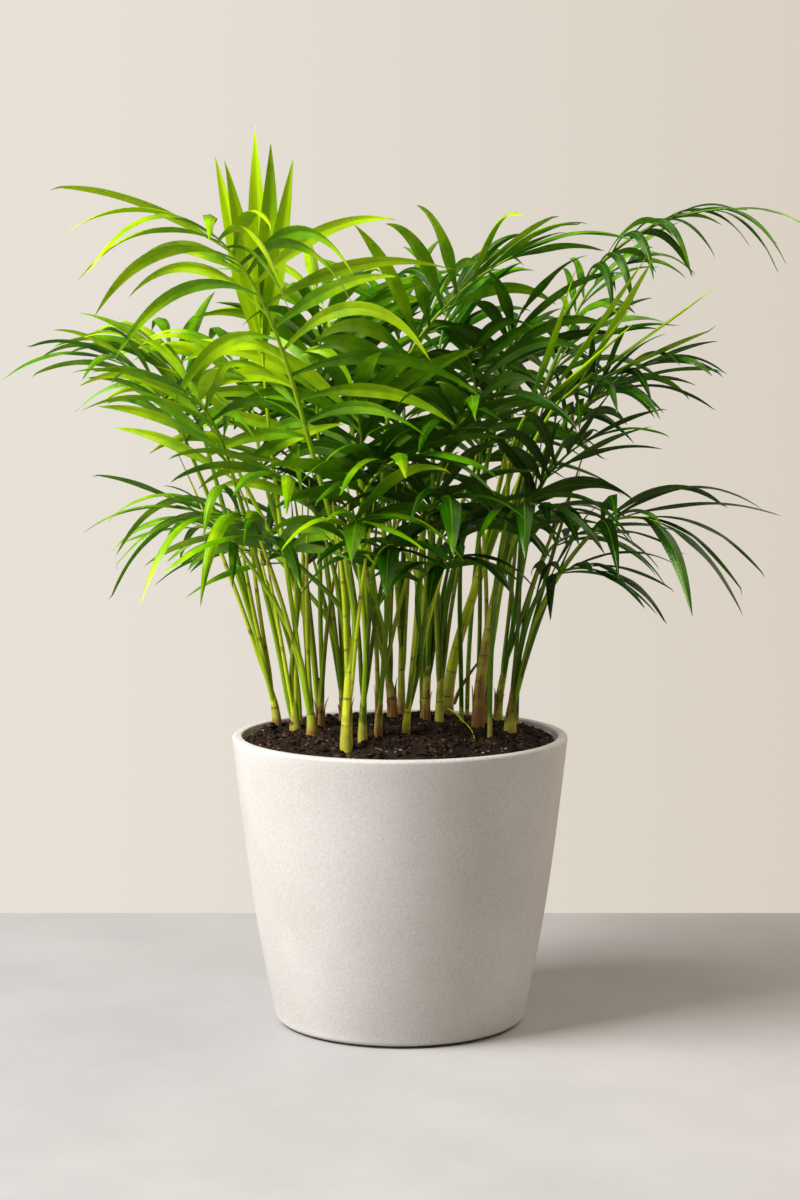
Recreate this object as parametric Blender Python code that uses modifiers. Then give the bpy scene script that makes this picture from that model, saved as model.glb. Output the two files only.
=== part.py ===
"""Potted parlor palm: a cast stone pot, its potting mix, canes and feathery fronds.

Run with: blender --background --python part.py
Lengths are metres and +Z is up. The pot stands on z = 0, centred on the Z axis.
The plant's tables are in millimetres, and MM turns them into metres.
"""

import math

import bmesh
import bpy
from mathutils import Vector
from mathutils.bvhtree import BVHTree
from mathutils.geometry import interpolate_bezier

MM = 0.001
UP = Vector((0, 0, 1))

# The pot: a tapered tub with a soft belly, a rounded lip and an inset foot.
POT_HEIGHT = 190 * MM
RIM_RADIUS = 110 * MM
POT_WALL = 6.6 * MM
POT_TAPER = 0.112
BELLY_DEPTH = 8.2 * MM
BELLY_POWER = 3.2
LIP_OUTER_ROUND = 2 * MM
LIP_INNER_ROUND = 1.5 * MM
BASE_ROUND = 3 * MM
FOOT_RADIUS = 74 * MM
FOOT_HEIGHT = 1.5 * MM
FLOOR_TOP = 10 * MM
FLOOR_FILLET = 8 * MM
WALL_LEVELS = (60 * MM, 110 * MM, 150 * MM)
OUTER_LEVELS = (155 * MM, 110 * MM, 70 * MM, 38 * MM, 18 * MM)
TURN_STEPS = 48

# The potting mix: level at the wall, heaped a little round the canes.
SOIL_EDGE = 184 * MM
SOIL_HEAP = 10 * MM
SOIL_HEAP_POWER = 4
SOIL_RINGS = (0, 30 * MM, 55 * MM, 75 * MM, 90 * MM)
FIT_GAP = 0.4 * MM
SOCKET_DEPTH = 18 * MM
SOCKET_GAP = 0.5 * MM

# Stems and leaflets.
CANE_RISE = 2 * MM
CANE_SPANS = 4
CROWN_GAP = 0.7 * MM
CROWN_RING = 2.4 * MM
PETIOLE_RADIUS = 1.6 * MM
RACHIS_TIP_RADIUS = 0.8 * MM
PETIOLE_SPANS = 4
CURVE_STEPS = 8
BLADE_STEPS = 12
BLADE_WAIST = 5
BLADE_THICKNESS = 0.9 * MM
BLADE_ROOT_SHARE = 0.6
BLADE_TIP_SHARE = 0.1
STEM_CLEARANCE = 0.4 * MM
BLADE_CLEARANCE = 0.8 * MM

# How leaflets differ along a frond and from one to the next, as shares of its own figures.
TERMINAL_WIDTH = 1.3
TERMINAL_LENGTH = 0.85
TERMINAL_SWEEP = 0.24
LOWEST_LENGTH = 0.72
SWELL_STARTS = 0.15
SWEEP_CLOSING = 0.5
LENGTH_VARIES = 0.12
SWEEP_VARIES = 0.25
DROOP_VARIES = 0.55
DROOP_POWER = 1.2

# How high leaflets rise from the rib's plane, in degrees. A few of them stand up and curl over.
LIFT = 20
LIFT_VARIES = 15
STIFF_DROOP = 0.5
STIFF_VARIES = 90
WAYWARD_LIFT = 62
WAYWARD_FROM = 0.82
WAYWARD_FRESH = 0.8
WAYWARD_LENGTH = 0.72
LEAST_TURN = 6

# One row a cane: foot x and y, crown x, y and z, thickness.
CANES = (
    (-82, 25, -90, 26, 232, 6.0),
    (-69, 0, -72, 0, 216, 7.0),
    (-57, -25, -61, -26, 230, 6.5),
    (-53, 21, -54, 22, 224, 5.5),
    (-38, 35, -41, 38, 240, 5.5),
    (-34, -67, -31, -66, 262, 7.4),
    (-24, -46, -22, -47, 242, 5.5),
    (-14, -36, -10, -36, 246, 5.0),
    (-5, 37, -11, 39, 242, 7.0),
    (1, 82, 1, 84, 268, 5.5),
    (4, -28, 10, -30, 238, 5.0),
    (17, 37, 21, 38, 256, 6.5),
    (26, 18, 28, 17, 252, 5.5),
    (32, 60, 63, 47, 322, 8.3),
    (51, 0, 68, 3, 316, 7.8),
    (56, 26, 63, 24, 262, 6.0),
    (66, 48, 75, 52, 248, 6.0),
    (72, -6, 79, -7, 238, 7.4),
)

# One row a frond: its cane's number, or its own foot in the soil; where its leaflets start,
# the middle of its rib, the rib's end; its leaflets' length, pairs, width, angle from the rib
# in degrees, droop and roll in degrees, left side up; and how fresh its green is.
FRONDS = (
    (6, (-56, -82, 385), (-88, -122, 482), (-114, -164, 514), 119, 13, 8.8, 76, 1.15, 2, 0.8),
    (3, (-88, -8, 430), (-88, -14, 450), (-88, -20, 470), 136, 3, 12.5, 12, 0.1, 0, 0.95),
    (1, (-136, 0, 374), (-154, -14, 414), (-180, -30, 434), 94, 8, 7.2, 56, 1.0, 0, 0.5),
    (8, (-5, -35, 411), (22, -52, 462), (70, -68, 500), 112, 9, 9.8, 60, 0.75, 0, 0.6),
    (14, (118, 24, 480), (160, 10, 519), (222, -12, 531), 76, 8, 6.4, 34, 2.0, 0, 0.4),
    (15, (98, -24, 404), (110, -30, 416), (122, -36, 427), 124, 3, 9.4, 20, 0.1, 0, 0.95),
    (16, (108, 12, 382), (131, 4, 414), (166, -10, 434), 88, 9, 7.4, 46, 1.1, -8, 0.25),
    (18, (121, -40, 324), (143, -60, 337), (172, -78, 330), 104, 7, 9.8, 32, 1.35, 0, 0.2),
    (2, (-74, -30, 306), (-104, -50, 333), (-133, -74, 336), 108, 9, 9.0, 58, 1.8, 0, 0.75),
    (1, (-130, 50, 379), (-142, 75, 415), (-158, 100, 444), 95, 8, 7.2, 58, 1.0, 0, 0.5),
    (13, (52, -5, 371), (50, -12, 408), (42, -28, 443), 85, 7, 8.0, 59, 1.0, 0, 0.35),
    (14, (110, 62, 446), (130, 74, 482), (160, 90, 500), 66, 7, 6.2, 40, 1.2, 0, 0.35),
    (17, (84, -10, 348), (100, -28, 372), (114, -46, 384), 82, 8, 6.8, 52, 0.6, 0, 0.2),
    (18, (93, -22, 290), (108, -38, 302), (127, -52, 302), 74, 6, 7.0, 45, 1.3, 0, 0.2),
    ((58, -30), (66, -52, 328), (72, -76, 344), (84, -102, 348), 84, 4, 10.5, 59, 1.3, 0, 0.3),
    (7, (-25, -60, 343), (-14, -82, 366), (3, -108, 377), 90, 7, 10.0, 59, 1.0, 0, 0.6),
    (7, (-24, -40, 364), (-25, -58, 394), (-31, -84, 415), 98, 7, 9.6, 59, 1.0, 0, 0.65),
    (6, (-38, -85, 318), (-35, -105, 334), (-28, -130, 340), 80, 6, 9.6, 59, 1.3, 0, 0.7),
    (3, (-65, 10, 292), (-86, 30, 305), (-109, 50, 306), 84, 6, 7.0, 59, 1.0, 0, 0.5),
    (2, (-106, -20, 356), (-117, -48, 394), (-132, -84, 417), 102, 8, 8.4, 59, 0.9, 0, 0.8),
    (4, (-91, 30, 360), (-100, 50, 405), (-116, 75, 438), 95, 8, 7.6, 59, 1.0, 0, 0.6),
    (4, (-53, 20, 373), (-54, 8, 424), (-48, -18, 460), 102, 8, 8.4, 59, 1.0, 0, 0.7),
    (9, (-33, 50, 392), (-44, 70, 445), (-58, 100, 480), 102, 8, 8.0, 59, 1.0, 0, 0.55),
    (10, (3, 100, 376), (1, 130, 430), (-4, 165, 472), 95, 8, 7.6, 59, 1.1, 0, 0.3),
    (12, (23, 45, 405), (27, 55, 445), (36, 70, 480), 88, 8, 7.6, 59, 1.0, 0, 0.35),
    (11, (25, -50, 364), (34, -78, 394), (47, -108, 411), 92, 7, 10.0, 59, 1.1, 0, 0.35),
    (11, (16, -60, 332), (22, -88, 348), (30, -118, 354), 82, 6, 10.0, 59, 1.4, 0, 0.3),
    (13, (62, 20, 387), (69, 8, 436), (80, -12, 470), 92, 8, 8.2, 59, 1.0, 0, 0.35),
    (17, (87, 60, 378), (101, 90, 418), (122, 125, 448), 92, 8, 7.2, 56, 1.2, 0, 0.25),
    (10, (-12, 135, 330), (-25, 165, 352), (-42, 192, 356), 88, 7, 7.2, 59, 1.0, 0, 0.35),
    (12, (45, 105, 340), (60, 140, 368), (80, 172, 378), 90, 7, 7.2, 59, 1.1, 0, 0.25),
    (5, (-62, 90, 345), (-80, 125, 375), (-100, 156, 388), 90, 7, 7.2, 59, 1.0, 0, 0.45),
    (5, (-48, 95, 296), (-64, 125, 310), (-84, 152, 311), 80, 6, 7.0, 59, 1.0, 0, 0.5),
    ((15, 65), (8, 54, 330), (4, 36, 372), (-4, 6, 398), 88, 7, 8.0, 59, 1.0, 0, 0.45),
    ((78, 34), (98, 78, 298), (117, 100, 312), (140, 116, 310), 80, 6, 7.0, 54, 1.2, 0, 0.2),
    ((-67, 34), (-98, 46, 300), (-120, 56, 318), (-142, 66, 320), 78, 6, 7.0, 56, 1.0, 0, 0.6),
    ((-32, -34), (-50, -38, 330), (-62, -55, 352), (-78, -76, 364), 88, 6, 9.4, 59, 1.0, 0, 0.7),
    ((41, 28), (40, -30, 318), (44, -58, 334), (52, -86, 338), 80, 6, 10.0, 59, 1.4, 0, 0.3),
    ((-15, 62), (-30, 80, 350), (-46, 96, 392), (-70, 112, 418), 90, 7, 7.4, 59, 1.0, 0, 0.4),
    ((46, 78), (62, 100, 380), (70, 128, 425), (78, 150, 448), 88, 7, 7.2, 58, 1.2, 0, 0.25),
)

# Ways a leaflet turns aside when another is in its path:
# degrees wider from the rib, degrees higher, and share of its length.
TURNS = (
    (0, 0, 1), (0, 9, 1), (0, -9, 1), (-9, 0, 1), (9, 0, 1), (0, 18, 1), (0, -18, 1),
    (-14, 12, 0.9), (12, -14, 0.9), (0, 0, 0.8), (0, 26, 0.85), (0, -26, 0.85),
    (-12, 0, 0.7), (0, 12, 0.6), (0, -12, 0.6), (0, 0, 0.5),
)

# Sideways steps that a stem tries, in millimetres, when another is in its path.
STEM_SHIFTS = tuple(
    (step * x, step * y)
    for step in (0, 4, 8, 12, 16)
    for x, y in ((0, 1), (0, -1), (1, 0), (-1, 0))
)


def vary(row, item, trait):
    """A repeatable value from -1 to 1 that differs from leaflet to leaflet."""
    wave = math.sin(12.9898 * row + 78.233 * item + 37.719 * trait) * 43758.5453
    return 2 * (wave % 1) - 1


# ---- the pot and the potting mix ----

def outer_radius(z):
    """Radius of the pot's outer side at height z."""
    drop = max(0.0, POT_HEIGHT - LIP_OUTER_ROUND - z)
    return RIM_RADIUS - POT_TAPER * drop - BELLY_DEPTH * (drop / POT_HEIGHT) ** BELLY_POWER


def inner_radius(z):
    """Radius of the pot's inner side at height z."""
    return outer_radius(z) - POT_WALL


def arc(centre_r, centre_z, radius, start, end, steps=2):
    """Points of an arc in the profile's plane, from one angle to another in degrees."""
    points = []
    for step in range(steps + 1):
        angle = math.radians(start + (end - start) * step / steps)
        points.append((centre_r + radius * math.cos(angle), centre_z + radius * math.sin(angle)))
    return points


def hollow_side(gap):
    """The pot's inside from the middle of its floor to the wall's top level, less a gap."""
    floor = FLOOR_TOP + gap
    corner = inner_radius(FLOOR_TOP + FLOOR_FILLET) - gap
    points = [(0, floor)]
    points += arc(corner - FLOOR_FILLET, floor + FLOOR_FILLET, FLOOR_FILLET, -90, 0)
    points += [(inner_radius(z) - gap, z) for z in WALL_LEVELS]
    return points


def pot_profile():
    """Floor, inner wall, lip, outer side, foot: the outer side runs top to bottom."""
    lip_in = inner_radius(POT_HEIGHT) + LIP_INNER_ROUND
    lip_out = RIM_RADIUS - LIP_OUTER_ROUND
    base_z = FOOT_HEIGHT + BASE_ROUND
    points = hollow_side(0)
    points += arc(lip_in, POT_HEIGHT - LIP_INNER_ROUND, LIP_INNER_ROUND, 180, 90)
    points += arc(lip_out, POT_HEIGHT - LIP_OUTER_ROUND, LIP_OUTER_ROUND, 90, 0)
    points += [(outer_radius(z), z) for z in OUTER_LEVELS]
    points += arc(outer_radius(base_z) - BASE_ROUND, base_z, BASE_ROUND, 0, -90)
    points += [(FOOT_RADIUS, FOOT_HEIGHT), (FOOT_RADIUS, 0), (0, 0)]
    return points


def soil_height(radius):
    """Height of the potting mix at a distance from the pot's axis."""
    share = min(1.0, radius / inner_radius(SOIL_EDGE))
    return SOIL_EDGE + SOIL_HEAP * (1 - share ** SOIL_HEAP_POWER)


def soil_profile():
    """The heaped top from the axis outwards, then down the wall and in along the floor."""
    points = [(radius, soil_height(radius)) for radius in SOIL_RINGS]
    points.append((inner_radius(SOIL_EDGE) - FIT_GAP, SOIL_EDGE))
    return points + hollow_side(FIT_GAP)[::-1]


def turned(name, profile, group):
    """A solid of revolution from a profile of (radius, height) points."""
    mesh = bpy.data.meshes.new(name)
    corners = [(radius, 0, height) for radius, height in profile]
    mesh.from_pydata(corners, [(i, i + 1) for i in range(len(corners) - 1)], [])
    obj = bpy.data.objects.new(name, mesh)
    group.objects.link(obj)
    screw = obj.modifiers.new("Turn", "SCREW")
    screw.angle = math.tau
    screw.steps = TURN_STEPS
    screw.render_steps = TURN_STEPS
    screw.use_merge_vertices = True
    screw.merge_threshold = 0.00001
    screw.use_smooth_shade = True
    return obj


# ---- stems ----

def smooth_route(points, start_way):
    """Points of a smooth curve through the given points, leaving the first one as told."""
    spans = [after - before for before, after in zip(points, points[1:])]
    ways = [start_way.normalized()]
    for before, after in zip(spans, spans[1:]):
        ways.append((before.normalized() + after.normalized()).normalized())
    ways.append((2 * spans[-1].normalized() - ways[-1]).normalized())
    line = [points[0]]
    for i, span in enumerate(spans):
        reach = span.length / 3
        handles = points[i] + ways[i] * reach, points[i + 1] - ways[i + 1] * reach
        line += interpolate_bezier(points[i], *handles, points[i + 1], CURVE_STEPS + 1)[1:]
    return line


def stations(line, start, end, count):
    """Points and directions at even steps along part of a line, by index into it."""
    found = []
    for step in range(count + 1):
        place = start + (end - start) * step / count
        low = min(int(place), len(line) - 2)
        way = line[low + 1] - line[low]
        found.append((line[low] + way * (place - low), way.normalized()))
    return found


def cane_route(row):
    """A cane's line, straight up out of its socket and then leaning to its crown."""
    foot_x, foot_y, *crown = row[:5]
    foot = Vector((foot_x, foot_y, 0)) * MM
    foot.z = soil_height(foot.length) + CANE_RISE
    top = Vector(crown) * MM
    reach = (top - foot).length / 3
    lean = (top - foot).normalized()
    bend = interpolate_bezier(foot, foot + UP * reach, top - lean * reach, top, CANE_SPANS)
    return [foot - UP * (SOCKET_DEPTH + CANE_RISE)] + list(bend)


def sleeve(line, rings):
    """A test body round a line, from the offsets of each section's corners."""
    count = len(rings[0])
    corners = [point + offset for point, ring in zip(line, rings) for offset in ring]
    faces = [tuple(range(count))[::-1]]
    for i in range(len(line) - 1):
        for j in range(count):
            k = (j + 1) % count
            low, high = count * i, count * (i + 1)
            faces.append((low + j, low + k, high + k, high + j))
    faces.append(tuple(range(count * (len(line) - 1), count * len(line))))
    return corners, faces


class Thicket:
    """What has grown so far, asked whether a new piece would run into it."""

    def __init__(self):
        self.bodies = []

    def add(self, corners, faces, owner):
        self.bodies.append((*self.reach(corners), BVHTree.FromPolygons(corners, faces), owner))

    @staticmethod
    def reach(corners):
        low = [min(c[i] for c in corners) for i in range(3)]
        high = [max(c[i] for c in corners) for i in range(3)]
        return low, high

    def is_clear(self, corners, faces, owner=None):
        low, high = self.reach(corners)
        tree = None
        for other_low, other_high, other, other_owner in self.bodies:
            if owner is not None and other_owner == owner:
                continue
            if any(low[i] > other_high[i] or high[i] < other_low[i] for i in range(3)):
                continue
            if tree is None:
                tree = BVHTree.FromPolygons(corners, faces)
            if tree.overlap(other):
                return False
        return True


def stem_body(line, radius):
    """The test body of a round stem along a line: six-sided, with room to spare."""
    corner = (radius + STEM_CLEARANCE) / math.cos(math.pi / 6)
    rings = []
    for before, after in zip(line, line[1:]):
        way = (after - before).normalized()
        across = way.cross(Vector((0.6, 0.8, 0.1))).normalized() * corner
        above = way.cross(across)
        angles = [math.tau * step / 6 for step in range(6)]
        rings.append([across * math.cos(a) + above * math.sin(a) for a in angles])
    return sleeve(line, rings + rings[-1:])


def stands_alone(row):
    """Whether a frond has its own foot in the soil, and no cane."""
    return isinstance(row[0], tuple)


def frond_start(row):
    """Where a frond's stalk begins and which way it sets off."""
    if stands_alone(row):
        foot = Vector((*row[0], 0)) * MM
        foot.z = soil_height(foot.length) + CANE_RISE
        return foot, UP
    line = cane_route(CANES[row[0] - 1])
    lean = (line[-1] - line[-2]).normalized()
    siblings = [Vector(other[1]) * MM for other in FRONDS if other[0] == row[0]]
    middle = sum(siblings, Vector()) / len(siblings)
    aside = (Vector(row[1]) * MM - middle) * Vector((1, 1, 0))
    return line[-1] + lean * CROWN_GAP + aside.normalized() * CROWN_RING, lean


def grow_stems():
    """Every frond's line, moved sideways a little where it would meet another stem."""
    thicket = Thicket()
    for number, row in enumerate(CANES, 1):
        thicket.add(*stem_body(cane_route(row), row[5] / 2 * MM), ("cane", number))
    lines = []
    for number, row in enumerate(FRONDS, 1):
        start, way = frond_start(row)
        for shift in STEM_SHIFTS:
            aside = Vector((*shift, 0)) * MM
            line = smooth_route([start] + [Vector(p) * MM + aside for p in row[1:4]], way)
            if stands_alone(row):
                line.insert(0, start - UP * (SOCKET_DEPTH + CANE_RISE))
            body = stem_body(line, PETIOLE_RADIUS)
            if thicket.is_clear(*body, ("cane", row[0])):
                break
        else:
            print("frond", number, "found no clear way for its stem")
        thicket.add(*body, ("frond", number))
        lines.append(line)
    return lines, thicket


# ---- fronds ----

def rib_frames(line, row):
    """Point, direction, side and upper side along a frond, and how many come before its rib."""
    leaf_start = len(line) - 1 - 2 * CURVE_STEPS
    heading = (line[-1] - line[leaf_start]) * Vector((1, 1, 0))
    side_way = heading.normalized().cross(UP)
    stalk = stations(line, leaf_start - CURVE_STEPS, leaf_start, PETIOLE_SPANS)[:-1]
    if stands_alone(row):
        stalk.insert(0, (line[0], UP))
    rib = stations(line, leaf_start, len(line) - 1, 2 * row[5] + 1)
    frames = []
    for point, way in stalk + rib:
        side = (side_way - way * side_way.dot(way)).normalized()
        frames.append((point, way, side, side.cross(way)))
    return frames, len(stalk)


def blade_line(root, way, length, droop):
    """A leaflet's middle line, which sinks more and more towards its tip."""
    line = [root]
    for step in range(BLADE_STEPS):
        share = (step + 0.5) / BLADE_STEPS
        sinking = (way - UP * droop * share ** DROOP_POWER).normalized()
        line.append(line[-1] + sinking * length / BLADE_STEPS)
    return line


def blade_sides(line, upper):
    """The direction across a leaflet and its upper side, at each point of its line."""
    sides = []
    for before, after in zip(line, line[1:]):
        way = (after - before).normalized()
        upper = (upper - way * upper.dot(way)).normalized()
        sides.append((way.cross(upper), upper))
    sides.append(sides[-1])
    return sides


def blade_body(line, sides, width, picks):
    """The test body of a leaflet: flat sections at some of its points, with room to spare."""
    rings = []
    for pick in picks:
        across, above = sides[pick]
        share = {1: BLADE_ROOT_SHARE, BLADE_STEPS: BLADE_TIP_SHARE}.get(pick, 1)
        wide = across * (width * share / 2 + BLADE_CLEARANCE)
        high = above * (BLADE_THICKNESS / 2 + BLADE_CLEARANCE)
        rings.append([-wide - high, wide - high, wide + high, high - wide])
    return sleeve([line[pick] for pick in picks], rings)


def leaflet_traits(number, row, item):
    """A leaflet's length, width, droop and its two angles, from its place on the rib."""
    length, pairs, width, sweep, droop, roll, fresh = row[4:]
    hand = 1 if item % 2 == 0 else -1
    terminal = item >= 2 * pairs
    share = min(1.0, (item + 0.5) / (2 * pairs))
    along = SWELL_STARTS + (1 - SWELL_STARTS) * share
    swell = LOWEST_LENGTH + (1 - LOWEST_LENGTH) * math.sin(math.pi * along)
    length *= (TERMINAL_LENGTH if terminal else swell) * (1 + LENGTH_VARIES * vary(number, item, 1))
    width *= TERMINAL_WIDTH if terminal else 1
    spread = STIFF_VARIES if droop < STIFF_DROOP else LIFT_VARIES
    droop *= 1 + DROOP_VARIES * vary(number, item, 2)
    closing = 1 - SWEEP_CLOSING * share ** 2 + SWEEP_VARIES * vary(number, item, 3)
    turn = sweep * (TERMINAL_SWEEP if terminal else closing)
    lift = LIFT + spread * vary(number, item, 4) - hand * roll
    if vary(number, item, 10) > WAYWARD_FROM and fresh < WAYWARD_FRESH and not terminal:
        lift = WAYWARD_LIFT
        length *= WAYWARD_LENGTH
    return length * MM, width * MM, droop, turn, lift


def grow_leaflets(lines, thicket):
    """Every frond's leaflets, each turned aside or shortened until its way is clear."""
    fronds = []
    for number, (row, stem) in enumerate(zip(FRONDS, lines), 1):
        frames, first = rib_frames(stem, row)
        leaflets = []
        for item in range(2 * row[5] + 2):
            place = first + min(item, 2 * row[5])
            hand = 1 if item % 2 == 0 else -1
            start, end = frames[place], frames[place + 1]
            root = (start[0] + end[0]) / 2
            way, side, upper = start[1], start[2] * hand, start[3]
            reach, width, droop, turn, lift = leaflet_traits(number, row, item)
            found = None
            for wider, higher, share in TURNS:
                angle = math.radians(max(LEAST_TURN, turn + wider))
                rise = math.radians(lift + higher)
                out = side * math.cos(rise) + upper * math.sin(rise)
                heading = way * math.cos(angle) + out * math.sin(angle)
                line = blade_line(root, heading, reach * share, droop)
                sides = blade_sides(line, upper)
                body = blade_body(line, sides, width, (1, BLADE_WAIST, BLADE_STEPS))
                outer = blade_body(line, sides, width, (BLADE_WAIST, BLADE_STEPS))
                if thicket.is_clear(*body, ("frond", number)) and thicket.is_clear(*outer):
                    found = body
                    break
            if found is None:
                continue
            thicket.add(*found, ("leaflet", number, item))
            leaflets.append((place, hand, line, sides, width))
        fronds.append((frames, first, leaflets))
    return fronds


def push_out(bm, face, corners_of):
    """Extrude one face and move each new corner to where corners_of puts it."""
    grown = bmesh.ops.extrude_discrete_faces(bm, faces=[face])["faces"][0]
    for vert in grown.verts:
        vert.co = corners_of(vert.co.copy())
    return grown


def stem_radius(place, first, last):
    """Half thickness of a frond's stalk and rib, slimmer towards the tip."""
    share = max(0, place - first) / (last - first)
    return PETIOLE_RADIUS + (RACHIS_TIP_RADIUS - PETIOLE_RADIUS) * share


def stem_corners(frame, radius):
    """The three corners of a stem's section: ridge, left and right."""
    point, _, side, upper = frame
    low = point - upper * radius / 2
    return [
        point + upper * radius,
        low - side * radius * math.cos(math.pi / 6),
        low + side * radius * math.cos(math.pi / 6),
    ]


def loft_stem(bm, frames, first):
    """A three-sided stem through the frames. Returns the side faces of each span."""
    last = len(frames) - 1
    rings = [stem_corners(frame, stem_radius(i, first, last)) for i, frame in enumerate(frames)]
    verts = [bm.verts.new(corner) for corner in rings[0]]
    foot = bm.faces.new(verts)
    grown = bmesh.ops.extrude_face_region(bm, geom=[foot], use_keep_orig=True)["geom"]
    cap = next(item for item in grown if isinstance(item, bmesh.types.BMFace))
    spans = []
    for before, after in zip(rings, rings[1:]):
        if spans:
            cap = bmesh.ops.extrude_discrete_faces(bm, faces=[cap])["faces"][0]
        for vert in cap.verts:
            nearest = min(range(3), key=lambda i: (vert.co - before[i]).length)
            vert.co = after[nearest]
        spans.append([face for edge in cap.edges for face in edge.link_faces if face is not cap])
    return spans


def side_face(faces, frame, hand):
    """The face of a stem's span that looks to the left or the right."""
    side = frame[2] * hand
    return max(faces, key=lambda face: (face.calc_center_median() - frame[0]).dot(side))


def add_leaflet(bm, face, frame, line, sides, width):
    """Grow a leaflet out of a side face: one wide section, then a point."""
    middle = face.calc_center_median()
    way, upper = frame[1], frame[3]
    across, above = sides[BLADE_WAIST]
    if across.dot(way) < 0:
        across = -across

    def waist(corner):
        ahead = 1 if (corner - middle).dot(way) > 0 else -1
        over = 1 if (corner - middle).dot(upper) > 0 else -1
        offset = across * (ahead * width / 2) + above * (over * BLADE_THICKNESS / 2)
        return line[BLADE_WAIST] + offset

    section = push_out(bm, face, waist)
    tip = push_out(bm, section, lambda corner: corner)
    bmesh.ops.pointmerge(bm, verts=list(tip.verts), merge_co=line[-1])


def frond_object(name, frames, first, leaflets, group):
    """One frond: stalk, rib and leaflets as a single closed body."""
    bm = bmesh.new()
    spans = loft_stem(bm, frames, first)
    for place, hand, line, sides, width in leaflets:
        face = side_face(spans[place], frames[place], hand)
        add_leaflet(bm, face, frames[place], line, sides, width)
    bmesh.ops.recalc_face_normals(bm, faces=bm.faces)
    mesh = bpy.data.meshes.new(name)
    bm.to_mesh(mesh)
    bm.free()
    obj = bpy.data.objects.new(name, mesh)
    group.objects.link(obj)
    return obj


def cane_object(name, row, group):
    """A cane: a round stem, a little slimmer at its crown."""
    curve = bpy.data.curves.new(name, "CURVE")
    curve.dimensions = "3D"
    curve.bevel_depth = row[5] / 2 * MM
    curve.bevel_resolution = 2
    curve.use_fill_caps = True
    line = cane_route(row)
    spline = curve.splines.new("POLY")
    spline.points.add(len(line) - 1)
    for i, (point, place) in enumerate(zip(spline.points, line)):
        point.co = (*place, 1)
        point.radius = 1 if i < 2 else 1 - 0.2 * (i - 1) / (len(line) - 2)
    obj = bpy.data.objects.new(name, curve)
    group.objects.link(obj)
    return obj


# ---- sockets in the potting mix ----

def socket_cutter(group):
    """Upright cylinders where canes and lone stalks stand in the potting mix."""
    bm = bmesh.new()
    feet = [(row[0], row[1], row[5] / 2 * MM) for row in CANES]
    feet += [(*row[0], PETIOLE_RADIUS) for row in FRONDS if stands_alone(row)]
    for x, y, radius in feet:
        foot = Vector((x, y, 0)) * MM
        low = soil_height(foot.length) - SOCKET_DEPTH - SOCKET_GAP
        pin = bmesh.ops.create_cone(
            bm, cap_ends=True, segments=12, depth=2 * SOCKET_DEPTH,
            radius1=radius + SOCKET_GAP, radius2=radius + SOCKET_GAP,
        )
        bmesh.ops.translate(bm, verts=pin["verts"], vec=foot + UP * (low + SOCKET_DEPTH))
    mesh = bpy.data.meshes.new("socket_cutter")
    bm.to_mesh(mesh)
    bm.free()
    cutter = bpy.data.objects.new("socket_cutter", mesh)
    group.objects.link(cutter)
    cutter.hide_render = True
    cutter.display_type = "WIRE"
    return cutter


# ---- materials ----

def plain_material(name, colour, roughness):
    """A Principled material of one colour."""
    material = bpy.data.materials.new(name)
    material.use_nodes = True
    shader = material.node_tree.nodes["Principled BSDF"]
    shader.inputs["Base Color"].default_value = (*colour, 1)
    shader.inputs["Roughness"].default_value = roughness
    shader.inputs["Metallic"].default_value = 0
    return material


def frond_colour(fresh):
    """From a deep mature green to the yellow green of a young leaf."""
    mature, young = Vector((0.03, 0.12, 0.012)), Vector((0.28, 0.42, 0.03))
    return tuple(mature.lerp(young, fresh))


def clear_scene():
    for obj in list(bpy.data.objects):
        bpy.data.objects.remove(obj, do_unlink=True)


def new_group(name):
    group = bpy.data.collections.new(name)
    bpy.context.scene.collection.children.link(group)
    return group


def main():
    clear_scene()
    parts = new_group("potted_parlor_palm")
    cutters = new_group("cutters")

    pot = turned("pot", pot_profile(), parts)
    pot.data.materials.append(plain_material("cast_stone", (0.62, 0.58, 0.53), 0.8))

    soil = turned("soil", soil_profile(), parts)
    soil.data.materials.append(plain_material("potting_mix", (0.035, 0.022, 0.014), 0.95))
    cut = soil.modifiers.new("Sockets", "BOOLEAN")
    cut.operation = "DIFFERENCE"
    cut.solver = "EXACT"
    cut.object = socket_cutter(cutters)

    for number, row in enumerate(CANES, 1):
        cane = cane_object(f"cane_{number:02d}", row, parts)
        cane.data.materials.append(plain_material(f"{cane.name}_skin", (0.3, 0.36, 0.09), 0.5))

    lines, thicket = grow_stems()
    for number, growth in enumerate(grow_leaflets(lines, thicket), 1):
        frond = frond_object(f"frond_{number:02d}", *growth, parts)
        colour = frond_colour(FRONDS[number - 1][-1])
        frond.data.materials.append(plain_material(f"{frond.name}_green", colour, 0.45))


main()
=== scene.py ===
"""Looks of a potted parlor palm: the finish of its pot, potting mix, canes and fronds.

Each fine piece grows by the tables and rules of the solid that it stands for. Tables are in
millimetres, and MM turns them into metres.
"""

import random
from itertools import pairwise
from math import cos, exp, pi, radians, sin, sqrt, tau

import bpy
from mathutils import Matrix, Vector, noise
from mathutils.bvhtree import BVHTree
from mathutils.geometry import interpolate_bezier


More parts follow.
